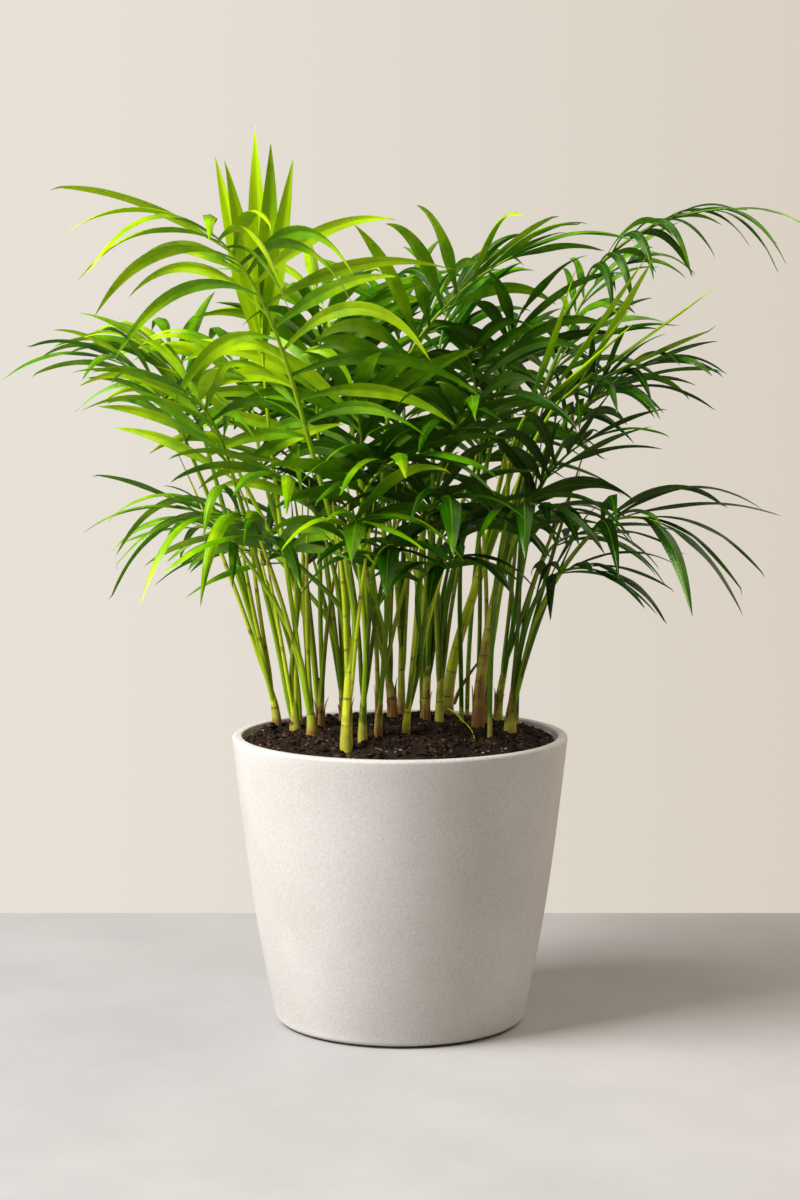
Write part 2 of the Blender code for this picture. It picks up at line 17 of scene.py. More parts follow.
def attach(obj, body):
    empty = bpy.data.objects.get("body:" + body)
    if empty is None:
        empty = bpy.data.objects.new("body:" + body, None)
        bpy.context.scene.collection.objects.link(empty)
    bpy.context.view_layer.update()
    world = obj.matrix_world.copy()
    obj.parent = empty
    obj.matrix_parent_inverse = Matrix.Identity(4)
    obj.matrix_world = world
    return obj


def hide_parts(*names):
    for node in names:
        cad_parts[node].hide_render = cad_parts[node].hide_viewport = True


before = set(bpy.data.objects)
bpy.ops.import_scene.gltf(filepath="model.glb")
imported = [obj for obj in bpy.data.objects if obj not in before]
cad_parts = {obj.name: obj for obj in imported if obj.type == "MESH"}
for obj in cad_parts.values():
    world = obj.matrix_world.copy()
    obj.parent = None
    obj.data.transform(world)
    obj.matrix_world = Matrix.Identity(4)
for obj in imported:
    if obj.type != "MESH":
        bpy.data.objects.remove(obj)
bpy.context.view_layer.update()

MM = 0.001
UP = Vector((0, 0, 1))
LEVEL = Vector((1, 1, 0))

# The pot: a tapered tub with a soft belly, a rounded lip and an inset foot.
POT_HEIGHT = 190 * MM
RIM_RADIUS = 110 * MM
POT_WALL = 6.6 * MM
POT_TAPER = 0.112
BELLY_DEPTH = 8.2 * MM
BELLY_POWER = 3.2
LIP_OUTER_ROUND = 2 * MM
LIP_INNER_ROUND = 1.5 * MM
BASE_ROUND = 3 * MM
FOOT_RADIUS = 74 * MM
FOOT_HEIGHT = 1.5 * MM
FLOOR_TOP = 10 * MM
FLOOR_FILLET = 8 * MM
WALL_LEVELS = (60 * MM, 110 * MM, 150 * MM)
SIDE_STEPS = (24, 32)
FILLET_STEPS, LIP_STEPS, BASE_STEPS = 6, (8, 10), 8

# The potting mix: level at the wall, heaped a little round the canes.
SOIL_EDGE = 184 * MM
SOIL_HEAP = 10 * MM
SOIL_HEAP_POWER = 4
FIT_GAP = 0.4 * MM
SOCKET_DEPTH = 18 * MM

# Stems and leaflets.
CANE_RISE = 2 * MM
CANE_SPANS = 4
CROWN_GAP = 0.7 * MM
CROWN_RING = 2.4 * MM
PETIOLE_RADIUS = 1.6 * MM
CURVE_STEPS = 8
ANY_SIDE = Vector((0.6, 0.8, 0.1))
TEST_SIDES = 6
BLADE_STEPS = 12
BLADE_WAIST = 5
BLADE_THICKNESS = 0.9 * MM
BLADE_ROOT_SHARE = 0.6
BLADE_TIP_SHARE = 0.1
STEM_CLEARANCE = 0.4 * MM
BLADE_CLEARANCE = 0.8 * MM

# How leaflets differ along a frond and from one to the next.
TERMINAL_WIDTH = 1.3
TERMINAL_LENGTH = 0.85
TERMINAL_SWEEP = 0.24
LOWEST_LENGTH = 0.72
SWELL_STARTS = 0.15
SWEEP_CLOSING = 0.5
LENGTH_VARIES = 0.12
SWEEP_VARIES = 0.25
DROOP_VARIES = 0.55
DROOP_POWER = 1.2

# How high leaflets rise from the rib's plane, in degrees. A few stand up.
LIFT = 20
LIFT_VARIES = 15
STIFF_DROOP = 0.5
STIFF_VARIES = 90
WAYWARD_LIFT = 62
WAYWARD_FROM = 0.82
WAYWARD_FRESH = 0.8
WAYWARD_LENGTH = 0.72
LEAST_TURN = 6

# One row a cane: foot x and y, crown x, y and z, thickness.
CANES = (
    (-82, 25, -90, 26, 232, 6),
    (-69, 0, -72, 0, 216, 7),
    (-57, -25, -61, -26, 230, 6.5),
    (-53, 21, -54, 22, 224, 5.5),
    (-38, 35, -41, 38, 240, 5.5),
    (-34, -67, -31, -66, 262, 7.4),
    (-24, -46, -22, -47, 242, 5.5),
    (-14, -36, -10, -36, 246, 5),
    (-5, 37, -11, 39, 242, 7),
    (1, 82, 1, 84, 268, 5.5),
    (4, -28, 10, -30, 238, 5),
    (17, 37, 21, 38, 256, 6.5),
    (26, 18, 28, 17, 252, 5.5),
    (32, 60, 63, 47, 322, 8.3),
    (51, 0, 68, 3, 316, 7.8),
    (56, 26, 63, 24, 262, 6),
    (66, 48, 75, 52, 248, 6),
    (72, -6, 79, -7, 238, 7.4),
)

# One row a frond: its cane's number, or its own foot in the soil; where its leaflets start,
# its rib's middle and its end; its leaflets' length, pairs, width, angle from the rib in
# degrees and droop; and how fresh its green is, partly painted shade at the right and back.
FRONDS = (
    (6, (-56, -82, 385), (-88, -122, 482), (-114, -164, 514), 119, 13, 8.8, 76, 1.15, 0.8),
    (3, (-88, -8, 430), (-88, -14, 450), (-88, -20, 470), 136, 3, 12.5, 12, 0.1, 0.95),
    (1, (-136, 0, 374), (-154, -14, 414), (-180, -30, 434), 94, 8, 7.2, 56, 1, 0.5),
    (8, (-5, -35, 411), (22, -52, 462), (70, -68, 500), 112, 9, 9.8, 60, 0.75, 0.6),
    (14, (118, 24, 480), (160, 10, 519), (222, -12, 531), 76, 8, 6.4, 34, 2, 0.4),
    (15, (98, -24, 404), (110, -30, 416), (122, -36, 427), 124, 3, 9.4, 20, 0.1, 0.95),
    (16, (108, 12, 382), (131, 4, 414), (166, -10, 434), 88, 9, 7.4, 46, 1.1, 0.25),
    (18, (121, -40, 324), (143, -60, 337), (172, -78, 330), 104, 7, 9.8, 32, 1.35, 0.2),
    (2, (-74, -30, 306), (-104, -50, 333), (-133, -74, 336), 108, 9, 9, 58, 1.8, 0.75),
    (1, (-130, 50, 379), (-142, 75, 415), (-158, 100, 444), 95, 8, 7.2, 58, 1, 0.5),
    (13, (52, -5, 371), (50, -12, 408), (42, -28, 443), 85, 7, 8, 59, 1, 0.35),
    (14, (110, 62, 446), (130, 74, 482), (160, 90, 500), 66, 7, 6.2, 40, 1.2, 0.35),
    (17, (84, -10, 348), (100, -28, 372), (114, -46, 384), 82, 8, 6.8, 52, 0.6, 0.2),
    (18, (93, -22, 290), (108, -38, 302), (127, -52, 302), 74, 6, 7, 45, 1.3, 0.2),
    ((58, -30), (66, -52, 328), (72, -76, 344), (84, -102, 348), 84, 4, 10.5, 59, 1.3, 0.3),
    (7, (-25, -60, 343), (-14, -82, 366), (3, -108, 377), 90, 7, 10, 59, 1, 0.6),
    (7, (-24, -40, 364), (-25, -58, 394), (-31, -84, 415), 98, 7, 9.6, 59, 1, 0.65),
    (6, (-38, -85, 318), (-35, -105, 334), (-28, -130, 340), 80, 6, 9.6, 59, 1.3, 0.7),
    (3, (-65, 10, 292), (-86, 30, 305), (-109, 50, 306), 84, 6, 7, 59, 1, 0.5),
    (2, (-106, -20, 356), (-117, -48, 394), (-132, -84, 417), 102, 8, 8.4, 59, 0.9, 0.8),
    (4, (-91, 30, 360), (-100, 50, 405), (-116, 75, 438), 95, 8, 7.6, 59, 1, 0.6),
    (4, (-53, 20, 373), (-54, 8, 424), (-48, -18, 460), 102, 8, 8.4, 59, 1, 0.7),
    (9, (-33, 50, 392), (-44, 70, 445), (-58, 100, 480), 102, 8, 8, 59, 1, 0.55),
    (10, (3, 100, 376), (1, 130, 430), (-4, 165, 472), 95, 8, 7.6, 59, 1.1, 0.3),
    (12, (23, 45, 405), (27, 55, 445), (36, 70, 480), 88, 8, 7.6, 59, 1, 0.35),
    (11, (25, -50, 364), (34, -78, 394), (47, -108, 411), 92, 7, 10, 59, 1.1, 0.35),
    (11, (16, -60, 332), (22, -88, 348), (30, -118, 354), 82, 6, 10, 59, 1.4, 0.3),
    (13, (62, 20, 387), (69, 8, 436), (80, -12, 470), 92, 8, 8.2, 59, 1, 0.35),
    (17, (87, 60, 378), (101, 90, 418), (122, 125, 448), 92, 8, 7.2, 56, 1.2, 0.25),
    (10, (-12, 135, 330), (-25, 165, 352), (-42, 192, 356), 88, 7, 7.2, 59, 1, 0.35),
    (12, (45, 105, 340), (60, 140, 368), (80, 172, 378), 90, 7, 7.2, 59, 1.1, 0.25),
    (5, (-62, 90, 345), (-80, 125, 375), (-100, 156, 388), 90, 7, 7.2, 59, 1, 0.45),
    (5, (-48, 95, 296), (-64, 125, 310), (-84, 152, 311), 80, 6, 7, 59, 1, 0.5),
    ((15, 65), (8, 54, 330), (4, 36, 372), (-4, 6, 398), 88, 7, 8, 59, 1, 0.45),
    ((78, 34), (98, 78, 298), (117, 100, 312), (140, 116, 310), 80, 6, 7, 54, 1.2, 0.2),
    ((-67, 34), (-98, 46, 300), (-120, 56, 318), (-142, 66, 320), 78, 6, 7, 56, 1, 0.6),
    ((-32, -34), (-50, -38, 330), (-62, -55, 352), (-78, -76, 364), 88, 6, 9.4, 59, 1, 0.7),
    ((41, 28), (40, -30, 318), (44, -58, 334), (52, -86, 338), 80, 6, 10, 59, 1.4, 0.3),
    ((-15, 62), (-30, 80, 350), (-46, 96, 392), (-70, 112, 418), 90, 7, 7.4, 59, 1, 0.4),
    ((46, 78), (62, 100, 380), (70, 128, 425), (78, 150, 448), 88, 7, 7.2, 58, 1.2, 0.25),
)

# Fronds that roll, by number, and how far in degrees, left side up.
ROLLS = {1: 2, 7: -8}

# How a leaflet turns aside from others: degrees wider, degrees higher, share of its length.
TURNS = (
    (0, 0, 1), (0, 9, 1), (0, -9, 1), (-9, 0, 1), (9, 0, 1), (0, 18, 1), (0, -18, 1),
    (-14, 12, 0.9), (12, -14, 0.9), (0, 0, 0.8), (0, 26, 0.85), (0, -26, 0.85),
    (-12, 0, 0.7), (0, 12, 0.6), (0, -12, 0.6), (0, 0, 0.5),
)

# Sideways steps that a stem tries, in millimetres, when another is in its path.
WAYS = ((0, 1), (0, -1), (1, 0), (-1, 0))
STEM_SHIFTS = [(step * x, step * y) for step in range(0, 17, 4) for x, y in WAYS]


def vary(row, item, trait):
    """A repeatable value from -1 to 1, for each leaflet its own."""
    wave = sin(12.9898 * row + 78.233 * item + 37.719 * trait) * 43758.5453
    return 2 * (wave % 1) - 1


# ---- the pot and the potting mix ----

def outer_radius(z):
    """The pot's outer radius at a height."""
    drop = max(0.0, POT_HEIGHT - LIP_OUTER_ROUND - z)
    return RIM_RADIUS - POT_TAPER * drop - BELLY_DEPTH * (drop / POT_HEIGHT) ** BELLY_POWER


def inner_radius(z):
    """The pot's inner radius at a height."""
    return outer_radius(z) - POT_WALL


def arc(centre_r, centre_z, radius, start, end, steps):
    """Points of an arc in a profile, from angle to angle in degrees."""
    points = []
    for step in range(steps + 1):
        angle = radians(start + (end - start) * step / steps)
        points.append((centre_r + radius * cos(angle), centre_z + radius * sin(angle)))
    return points


def hollow_side(gap, levels, steps):
    """The pot's inside from its floor's middle upwards, less a gap."""
    floor = FLOOR_TOP + gap
    corner = inner_radius(FLOOR_TOP + FLOOR_FILLET) - gap
    points = [(0, floor)]
    points += arc(corner - FLOOR_FILLET, floor + FLOOR_FILLET, FLOOR_FILLET, -90, 0, steps)
    return points + [(inner_radius(z) - gap, z) for z in levels]


def between(start, end, count):
    """The values that part a range into equal steps."""
    return [start + (end - start) * step / count for step in range(1, count)]


def pot_profile():
    """The pot from its floor's middle: inner side, lip, outer side and foot."""
    low, high = FLOOR_TOP + FLOOR_FILLET, POT_HEIGHT - LIP_INNER_ROUND
    points = hollow_side(0, between(low, high, SIDE_STEPS[0]), FILLET_STEPS)
    lip = inner_radius(POT_HEIGHT) + LIP_INNER_ROUND
    points += arc(lip, high, LIP_INNER_ROUND, 180, 90, LIP_STEPS[0])
    low, high = FOOT_HEIGHT + BASE_ROUND, POT_HEIGHT - LIP_OUTER_ROUND
    points += arc(RIM_RADIUS - LIP_OUTER_ROUND, high, LIP_OUTER_ROUND, 90, 0, LIP_STEPS[1])
    points += [(outer_radius(z), z) for z in between(high, low, SIDE_STEPS[1])]
    points += arc(outer_radius(low) - BASE_ROUND, low, BASE_ROUND, 0, -90, BASE_STEPS)
    return points + [(FOOT_RADIUS, FOOT_HEIGHT), (FOOT_RADIUS, 0), (0, 0)]


def soil_height(radius):
    """The mix's height at a distance from the axis."""
    share = min(1.0, radius / inner_radius(SOIL_EDGE))
    return SOIL_EDGE + SOIL_HEAP * (1 - share ** SOIL_HEAP_POWER)


# ---- stems ----

def smooth_route(points, start_way):
    """A smooth curve through points, leaving the first one as told."""
    spans = [after - before for before, after in pairwise(points)]
    ways = [start_way.normalized()]
    for before, after in pairwise(spans):
        ways.append((before.normalized() + after.normalized()).normalized())
    ways.append((2 * spans[-1].normalized() - ways[-1]).normalized())
    line = [points[0]]
    for i, span in enumerate(spans):
        reach = span.length / 3
        handles = points[i] + ways[i] * reach, points[i + 1] - ways[i + 1] * reach
        line += interpolate_bezier(points[i], *handles, points[i + 1], CURVE_STEPS + 1)[1:]
    return line


def foot_on_soil(place):
    """The point just above the mix from which a stem is drawn."""
    foot = Vector((*place, 0)) * MM
    foot.z = soil_height(foot.length) + CANE_RISE
    return foot


def cane_route(row, count=CANE_SPANS):
    """A cane's line, up from its socket and leaning to its crown."""
    foot, top = foot_on_soil(row[:2]), Vector(row[2:5]) * MM
    reach = (top - foot).length / 3
    lean = (top - foot).normalized()
    bend = interpolate_bezier(foot, foot + UP * reach, top - lean * reach, top, count)
    return [foot - UP * (SOCKET_DEPTH + CANE_RISE)] + list(bend)


def sleeve(line, rings):
    """A test body round a line, from its sections' corners."""
    count = len(rings[0])
    corners = [point + offset for point, ring in zip(line, rings) for offset in ring]
    faces = [tuple(range(count))[::-1]]
    for low in range(0, len(corners) - count, count):
        high = low + count
        for j in range(count):
            k = (j + 1) % count
            faces.append((low + j, low + k, high + k, high + j))
    faces.append(tuple(range(high, len(corners))))
    return corners, faces


class Thicket:
    """What has grown so far, and whether a new piece is clear of it."""

    def __init__(self):
        self.bodies = []

    def add(self, corners, faces, owner=None):
        self.bodies.append((*self.reach(corners), BVHTree.FromPolygons(corners, faces), owner))

    @staticmethod
    def reach(corners):
        low = [min(c[i] for c in corners) for i in range(3)]
        high = [max(c[i] for c in corners) for i in range(3)]
        return low, high

    def is_clear(self, corners, faces, owner=None):
        low, high = self.reach(corners)
        tree = BVHTree.FromPolygons(corners, faces)
        return not any(
            all(low[i] <= top[i] and high[i] >= foot[i] for i in range(3))
            and not (owner and owner == its_owner)
            and tree.overlap(other)
            for foot, top, other, its_owner in self.bodies
        )


def polar(radius, angle, height=0):
    """A point at an angle round the pot's axis."""
    return Vector((radius * cos(angle), radius * sin(angle), height))


def circle(count):
    """Even angles round a circle."""
    return [tau * step / count for step in range(count)]


def stem_body(line, radius):
    """The test body of a stem, with room to spare."""
    corner = (radius + STEM_CLEARANCE) / cos(pi / TEST_SIDES)
    rings = []
    for before, after in pairwise(line):
        way = (after - before).normalized()
        across = way.cross(ANY_SIDE).normalized() * corner
        above = way.cross(across)
        rings.append([across * cos(a) + above * sin(a) for a in circle(TEST_SIDES)])
    return sleeve(line, rings + rings[-1:])


def stands_alone(row):
    """Whether a frond has its own foot, and no cane."""
    return isinstance(row[0], tuple)


def frond_start(row):
    """Where a frond's stalk begins and which way it sets off."""
    if stands_alone(row):
        return foot_on_soil(row[0]), UP
    line = cane_route(CANES[row[0] - 1])
    lean = (line[-1] - line[-2]).normalized()
    siblings = [Vector(other[1]) * MM for other in FRONDS if other[0] == row[0]]
    middle = sum(siblings, Vector()) / len(siblings)
    aside = (Vector(row[1]) * MM - middle) * LEVEL
    return line[-1] + lean * CROWN_GAP + aside.normalized() * CROWN_RING, lean


def grow_stems(rows, count_from, thicket):
    """Every frond's line, moved aside where it would meet another stem."""
    lines = []
    for number, row in enumerate(rows, count_from):
        start, way = frond_start(row)
        for shift in STEM_SHIFTS:
            aside = Vector((*shift, 0)) * MM
            line = smooth_route([start] + [Vector(p) * MM + aside for p in row[1:4]], way)
            if stands_alone(row):
                line.insert(0, start - UP * (SOCKET_DEPTH + CANE_RISE))
            body = stem_body(line, PETIOLE_RADIUS)
            if thicket.is_clear(*body, ("cane", row[0])):
                break
        thicket.add(*body, ("frond", number))
        lines.append(line)
    return lines


# ---- fronds ----

def rib_frames(line, count):
    """Point, direction, side and upper side at steps along a frond's rib."""
    end = len(line) - 1
    start = end - 2 * CURVE_STEPS
    level_side = ((line[end] - line[start]) * LEVEL).normalized().cross(UP)
    frames = []
    for step in range(count + 1):
        place = start + (end - start) * step / count
        low = min(int(place), end - 1)
        span = line[low + 1] - line[low]
        way = span.normalized()
        side = (level_side - way * level_side.dot(way)).normalized()
        frames.append((line[low] + span * (place - low), way, side, side.cross(way)))
    return frames


def blade_line(root, way, length, droop):
    """A leaflet's middle line, which sinks towards its tip."""
    line = [root]
    for step in range(BLADE_STEPS):
        share = (step + 0.5) / BLADE_STEPS
        sinking = (way - UP * droop * share ** DROOP_POWER).normalized()
        line.append(line[-1] + sinking * length / BLADE_STEPS)
    return line


def blade_sides(line, upper):
    """The way across a leaflet and its upper side, all along its line."""
    sides = []
    for before, after in pairwise(line):
        way = (after - before).normalized()
        upper = (upper - way * upper.dot(way)).normalized()
        sides.append((way.cross(upper), upper))
    sides.append(sides[-1])
    return sides


def blade_body(line, sides, width, picks):
    """The test body of a leaflet: flat sections at some of its points."""
    rings = []
    for pick in picks:
        across, above = sides[pick]
        share = {1: BLADE_ROOT_SHARE, BLADE_STEPS: BLADE_TIP_SHARE}.get(pick, 1)
        wide = across * (width * share / 2 + BLADE_CLEARANCE)
        high = above * (BLADE_THICKNESS / 2 + BLADE_CLEARANCE)
        rings.append([-wide - high, wide - high, wide + high, high - wide])
    return sleeve([line[pick] for pick in picks], rings)


def leaflet_traits(number, row, item):
    """A leaflet's length, width, droop and two angles."""
    length, pairs, width, sweep, droop, fresh = row[4:]
    hand = (-1) ** item
    terminal = item >= 2 * pairs
    share = min(1.0, (item + 0.5) / (2 * pairs))
    along = SWELL_STARTS + (1 - SWELL_STARTS) * share
    swell = LOWEST_LENGTH + (1 - LOWEST_LENGTH) * sin(pi * along)
    length *= (TERMINAL_LENGTH if terminal else swell) * (1 + LENGTH_VARIES * vary(number, item, 1))
    width *= TERMINAL_WIDTH if terminal else 1
    spread = STIFF_VARIES if droop < STIFF_DROOP else LIFT_VARIES
    droop *= 1 + DROOP_VARIES * vary(number, item, 2)
    closing = 1 - SWEEP_CLOSING * share ** 2 + SWEEP_VARIES * vary(number, item, 3)
    turn = sweep * (TERMINAL_SWEEP if terminal else closing)
    lift = LIFT + spread * vary(number, item, 4) - hand * ROLLS.get(number, 0)
    if vary(number, item, 10) > WAYWARD_FROM and fresh < WAYWARD_FRESH and not terminal:
        lift = WAYWARD_LIFT
        length *= WAYWARD_LENGTH
    return length * MM, width * MM, droop, turn, lift


def grow_leaflets(rows, count_from, lines, thicket):
    """Every frond's leaflets, turned aside or shortened until they are clear."""
    fronds = []
    for number, (row, stem) in enumerate(zip(rows, lines), count_from):
        last = 2 * row[5]
        frames = rib_frames(stem, last + 1)
        leaflets = []
        for item in range(last + 2):
            place = min(item, last)
            point, way, side, upper = frames[place]
            root = (point + frames[place + 1][0]) / 2
            side = side * (-1) ** item
            reach, width, droop, turn, lift = leaflet_traits(number, row, item)
            for wider, higher, share in TURNS:
                angle = radians(max(LEAST_TURN, turn + wider))
                rise = radians(lift + higher)
                out = side * cos(rise) + upper * sin(rise)
                heading = way * cos(angle) + out * sin(angle)
                line = blade_line(root, heading, reach * share, droop)
                sides = blade_sides(line, upper)
                body = blade_body(line, sides, width, (1, BLADE_WAIST, BLADE_STEPS))
                outer = blade_body(line, sides, width, (BLADE_WAIST, BLADE_STEPS))
                if thicket.is_clear(*body, ("frond", number)) and thicket.is_clear(*outer):
                    thicket.add(*body)
                    leaflets.append((line, sides, width))
                    break
        fronds.append(leaflets)
    return fronds


# ---- fine meshes ----

# How blades are built, and how they roll, curl and wave.
MAP_MARGIN = 0.06
MAP_FIELD = 1 - 2 * MAP_MARGIN
SHARP_ANGLE = radians(50)
BLADE_SPANS = 18
BLADE_LANES = (-1, -0.66, -0.33, 0, 0.33, 0.66, 1)
BLADE_ROUND = BLADE_LANES + BLADE_LANES[-2:0:-1]
BLADE_SKIN = 0.4 * MM
BLADE_FOLD = 0.34
BLADE_WIDEST = 0.4
BLADE_ROOT = 0.24
BLADE_LEAST = 0.05
BLADE_NARROWING = 1.7
BLADE_ROLL = 0.75
BLADE_CURL = 0.05
WAVE_HEIGHT = 0.12
WAVE_RATE = 9


def shares(count):
    """Even steps from 0 to 1."""
    return [step / count for step in range(count + 1)]


def placed(name, data):
    """A new object in the scene."""
    obj = bpy.data.objects.new(name, data)
    bpy.context.scene.collection.objects.link(obj)
    return obj


def mesh_object(name, points, faces, *materials):
    """An object made of faces."""
    mesh = bpy.data.meshes.new(name)
    mesh.from_pydata(points, [], faces)
    for material in materials:
        mesh.materials.append(material)
    return placed(name, mesh)


def give_values(mesh, title, domain, values):
    """A value for each point or face, which materials read."""
    mesh.attributes.new(title, "FLOAT", domain).data.foreach_set("value", values)


class Skin:
    """A mesh put together body by body, with the values that its materials read.

    A cell is a field of the bake map. Odd cells are the undersides of blades.
    """

    def __init__(self, rings=0):
        self.rings = rings
        self.points, self.ages, self.faces = [], [], []

    def body(self, rings, lanes, runs, ages, cells, tone, slot, tip=None):
        """A closed body through rings of points, ending in a cap or a point."""
        count = len(rings[0])
        base = len(self.points)
        for ring, age in zip(rings, ages):
            self.points += ring
            self.ages += [age] * count
        for i in range(len(rings) - 1):
            low, high = base + count * i, base + count * (i + 1)
            for k in range(count):
                after = (k + 1) % count
                corners = (low + k, low + after, high + after, high + k)
                spots = [(lanes[k], runs[i]), (lanes[k + 1], runs[i])]
                spots += [(lanes[k + 1], runs[i + 1]), (lanes[k], runs[i + 1])]
                self.faces.append((corners, spots, tone, slot, cells[k]))
        first, last = range(base, base + count), range(high, high + count)
        caps = [(first[::-1], runs[0]), (last, runs[-1])]
        for corners, run in caps if tip is None else caps[:1]:
            self.faces.append((corners, [(lanes[0], run)] * count, tone, slot, cells[0]))
        if tip is None:
            return
        self.points.append(tip)
        self.ages.append(ages[-1])
        for k in range(count):
            corners = (last[k], last[(k + 1) % count], len(self.points) - 1)
            middle = (lanes[k] + lanes[k + 1]) / 2
            spots = [(lanes[k], runs[-1]), (lanes[k + 1], runs[-1]), (middle, 1)]
            self.faces.append((corners, spots, tone, slot, cells[k]))

    def tube(self, line, radii, sides, ages, cell, tone, slot=0, far=None, tip=None):
        """A round body along a line, with no twist."""
        side = ANY_SIDE
        rings = []
        for i, (point, radius) in enumerate(zip(line, radii)):
            way = (line[min(i + 1, len(line) - 1)] - line[max(i - 1, 0)]).normalized()
            side = (side - way * side.dot(way)).normalized()
            other = way.cross(side)
            ring = [side * cos(a) + other * sin(a) for a in circle(sides)]
            rings.append([point + offset * radius for offset in ring])
        far = far or range(len(line))
        runs = [distance / far[-1] for distance in far]
        self.body(rings, shares(sides), runs, ages, [cell] * sides, tone, slot, tip)

    def finish(self, name, columns, *materials):
        """The object made of all this. Its bake map has two rows of fields."""
        faces, spots, tones, slots, cells = zip(*self.faces)
        obj = mesh_object(name, self.points, faces, *materials)
        mesh = obj.data
        mesh.polygons.foreach_set("material_index", slots)
        mesh.polygons.foreach_set("use_smooth", [True] * len(faces))
        mesh.set_sharp_from_angle(angle=SHARP_ANGLE)
        strip, bake = [], []
        for field, cell in zip(spots, cells):
            for lane, run in field:
                strip += lane, run
                bake.append((cell % columns + MAP_MARGIN + lane * MAP_FIELD) / columns)
                bake.append((cell // columns + MAP_MARGIN + run * MAP_FIELD) / 2)
        mesh.uv_layers.new(name="Strip").uv.foreach_set("vector", strip)
        mesh.uv_layers.new(name="OFBake").uv.foreach_set("vector", bake)
        give_values(mesh, "tone", "FACE", tones)
        give_values(mesh, "underside", "FACE", [cell % 2 for cell in cells])
        give_values(mesh, "age", "POINT", self.ages)
        give_values(mesh, "rings", "POINT", [self.rings] * len(self.points))
        return obj


def smooth_line(line, count):
    """A line read again at even steps, rounded at its corners."""
    points = line[:1] + line + line[-1:]
    found = []
    for step in range(count + 1):
        place = (len(line) - 1) * step / count
        low = min(int(place), len(line) - 2)
        t = place - low
        a, b, c, d = points[low:low + 4]
        bend = (c - a) * t + (2 * a - 5 * b + 4 * c - d) * t ** 2 + (3 * b - a - 3 * c + d) * t ** 3
        found.append(b + bend / 2)
    return found


def distances(line):
    """How far along a line each of its points lies."""
    far = [0.0]
    for before, after in pairwise(line):
        far.append(far[-1] + (after - before).length)
    return far


def blade_width(share):
    """A blade's half width at a share of its length, against its widest."""
    if share < BLADE_WIDEST:
        rise = share / BLADE_WIDEST
        return BLADE_ROOT + (1 - BLADE_ROOT) * rise * rise * (3 - 2 * rise)
    return 1 - ((share - BLADE_WIDEST) / (1 - BLADE_WIDEST)) ** BLADE_NARROWING


def grow_blade(skin, line, sides, width, number, item, tone, age=0):
    """A thin keeled blade that turns a little towards its tip."""
    middle = smooth_line(line, BLADE_SPANS)
    sections = blade_sides(middle, sides[0][1])
    roll = BLADE_ROLL * vary(number, item, 5)
    curl = BLADE_CURL * vary(number, item, 6) * (line[-1] - line[0]).length
    phase = pi * vary(number, item, 7)
    runs = shares(BLADE_SPANS)[:-1]
    rings = []
    for share, centre, (across, above) in zip(runs, middle, sections):
        turn = Matrix.Rotation(roll * share ** 2, 3, across.cross(above))
        across, above = turn @ across, turn @ above
        half = width / 2 * max(BLADE_LEAST, blade_width(share))
        centre = centre + across * (curl * share ** 2)
        wave = WAVE_HEIGHT * sin(WAVE_RATE * share + phase)
        ring = []
        for k, lane in enumerate(BLADE_ROUND):
            over = 1 if k < len(BLADE_LANES) else -1
            lift = half * abs(lane) * (wave * lane - BLADE_FOLD)
            lift += over * BLADE_SKIN / 2 * (1 - lane * lane)
            ring.append(centre + across * (lane * half) + above * lift)
        rings.append(ring)
    lanes = [(lane + 1) / 2 for lane in BLADE_ROUND] + [0]
    upper = len(BLADE_LANES) - 1
    cells = [2 * item] * upper + [2 * item + 1] * upper
    tip = middle[-1] + sections[-1][0] * curl
    skin.body(rings, lanes, runs, [age] * BLADE_SPANS, cells, tone, 0, tip)


# ---- fine fronds ----

# A frond's stalk, and the sheath at its foot: how deep it starts, and how far aside.
STALK_SIDES = 10
RIB_FROM = 0.5
RIB_TIP_RADIUS = 0.56 * MM
SHEATH_LENGTH = 50 * MM
SHEATH_OPENS = 1.5
SHEATH_CLOSING = 1.4
SHEATH_WIDTH = 0.52
SHEATH_ROOTS = ((32 * MM, 0.1), (22 * MM, 0.45), (11 * MM, 0.8))

# Leaves are painted fresher towards the window, on the left, and at the top, as painted light, and
# darker inside, as painted shade.
PAINTED_LIGHT_LEFT = 0.5
PAINTED_LIGHT_TOP = 1.1
MID_HEIGHT = 0.39
PAINTED_SHADE_INNER = 0.35
PAINTED_SHADE_REACH = 0.14
LEAF_VARIES = 0.24
STALK_VARIES = 0.3

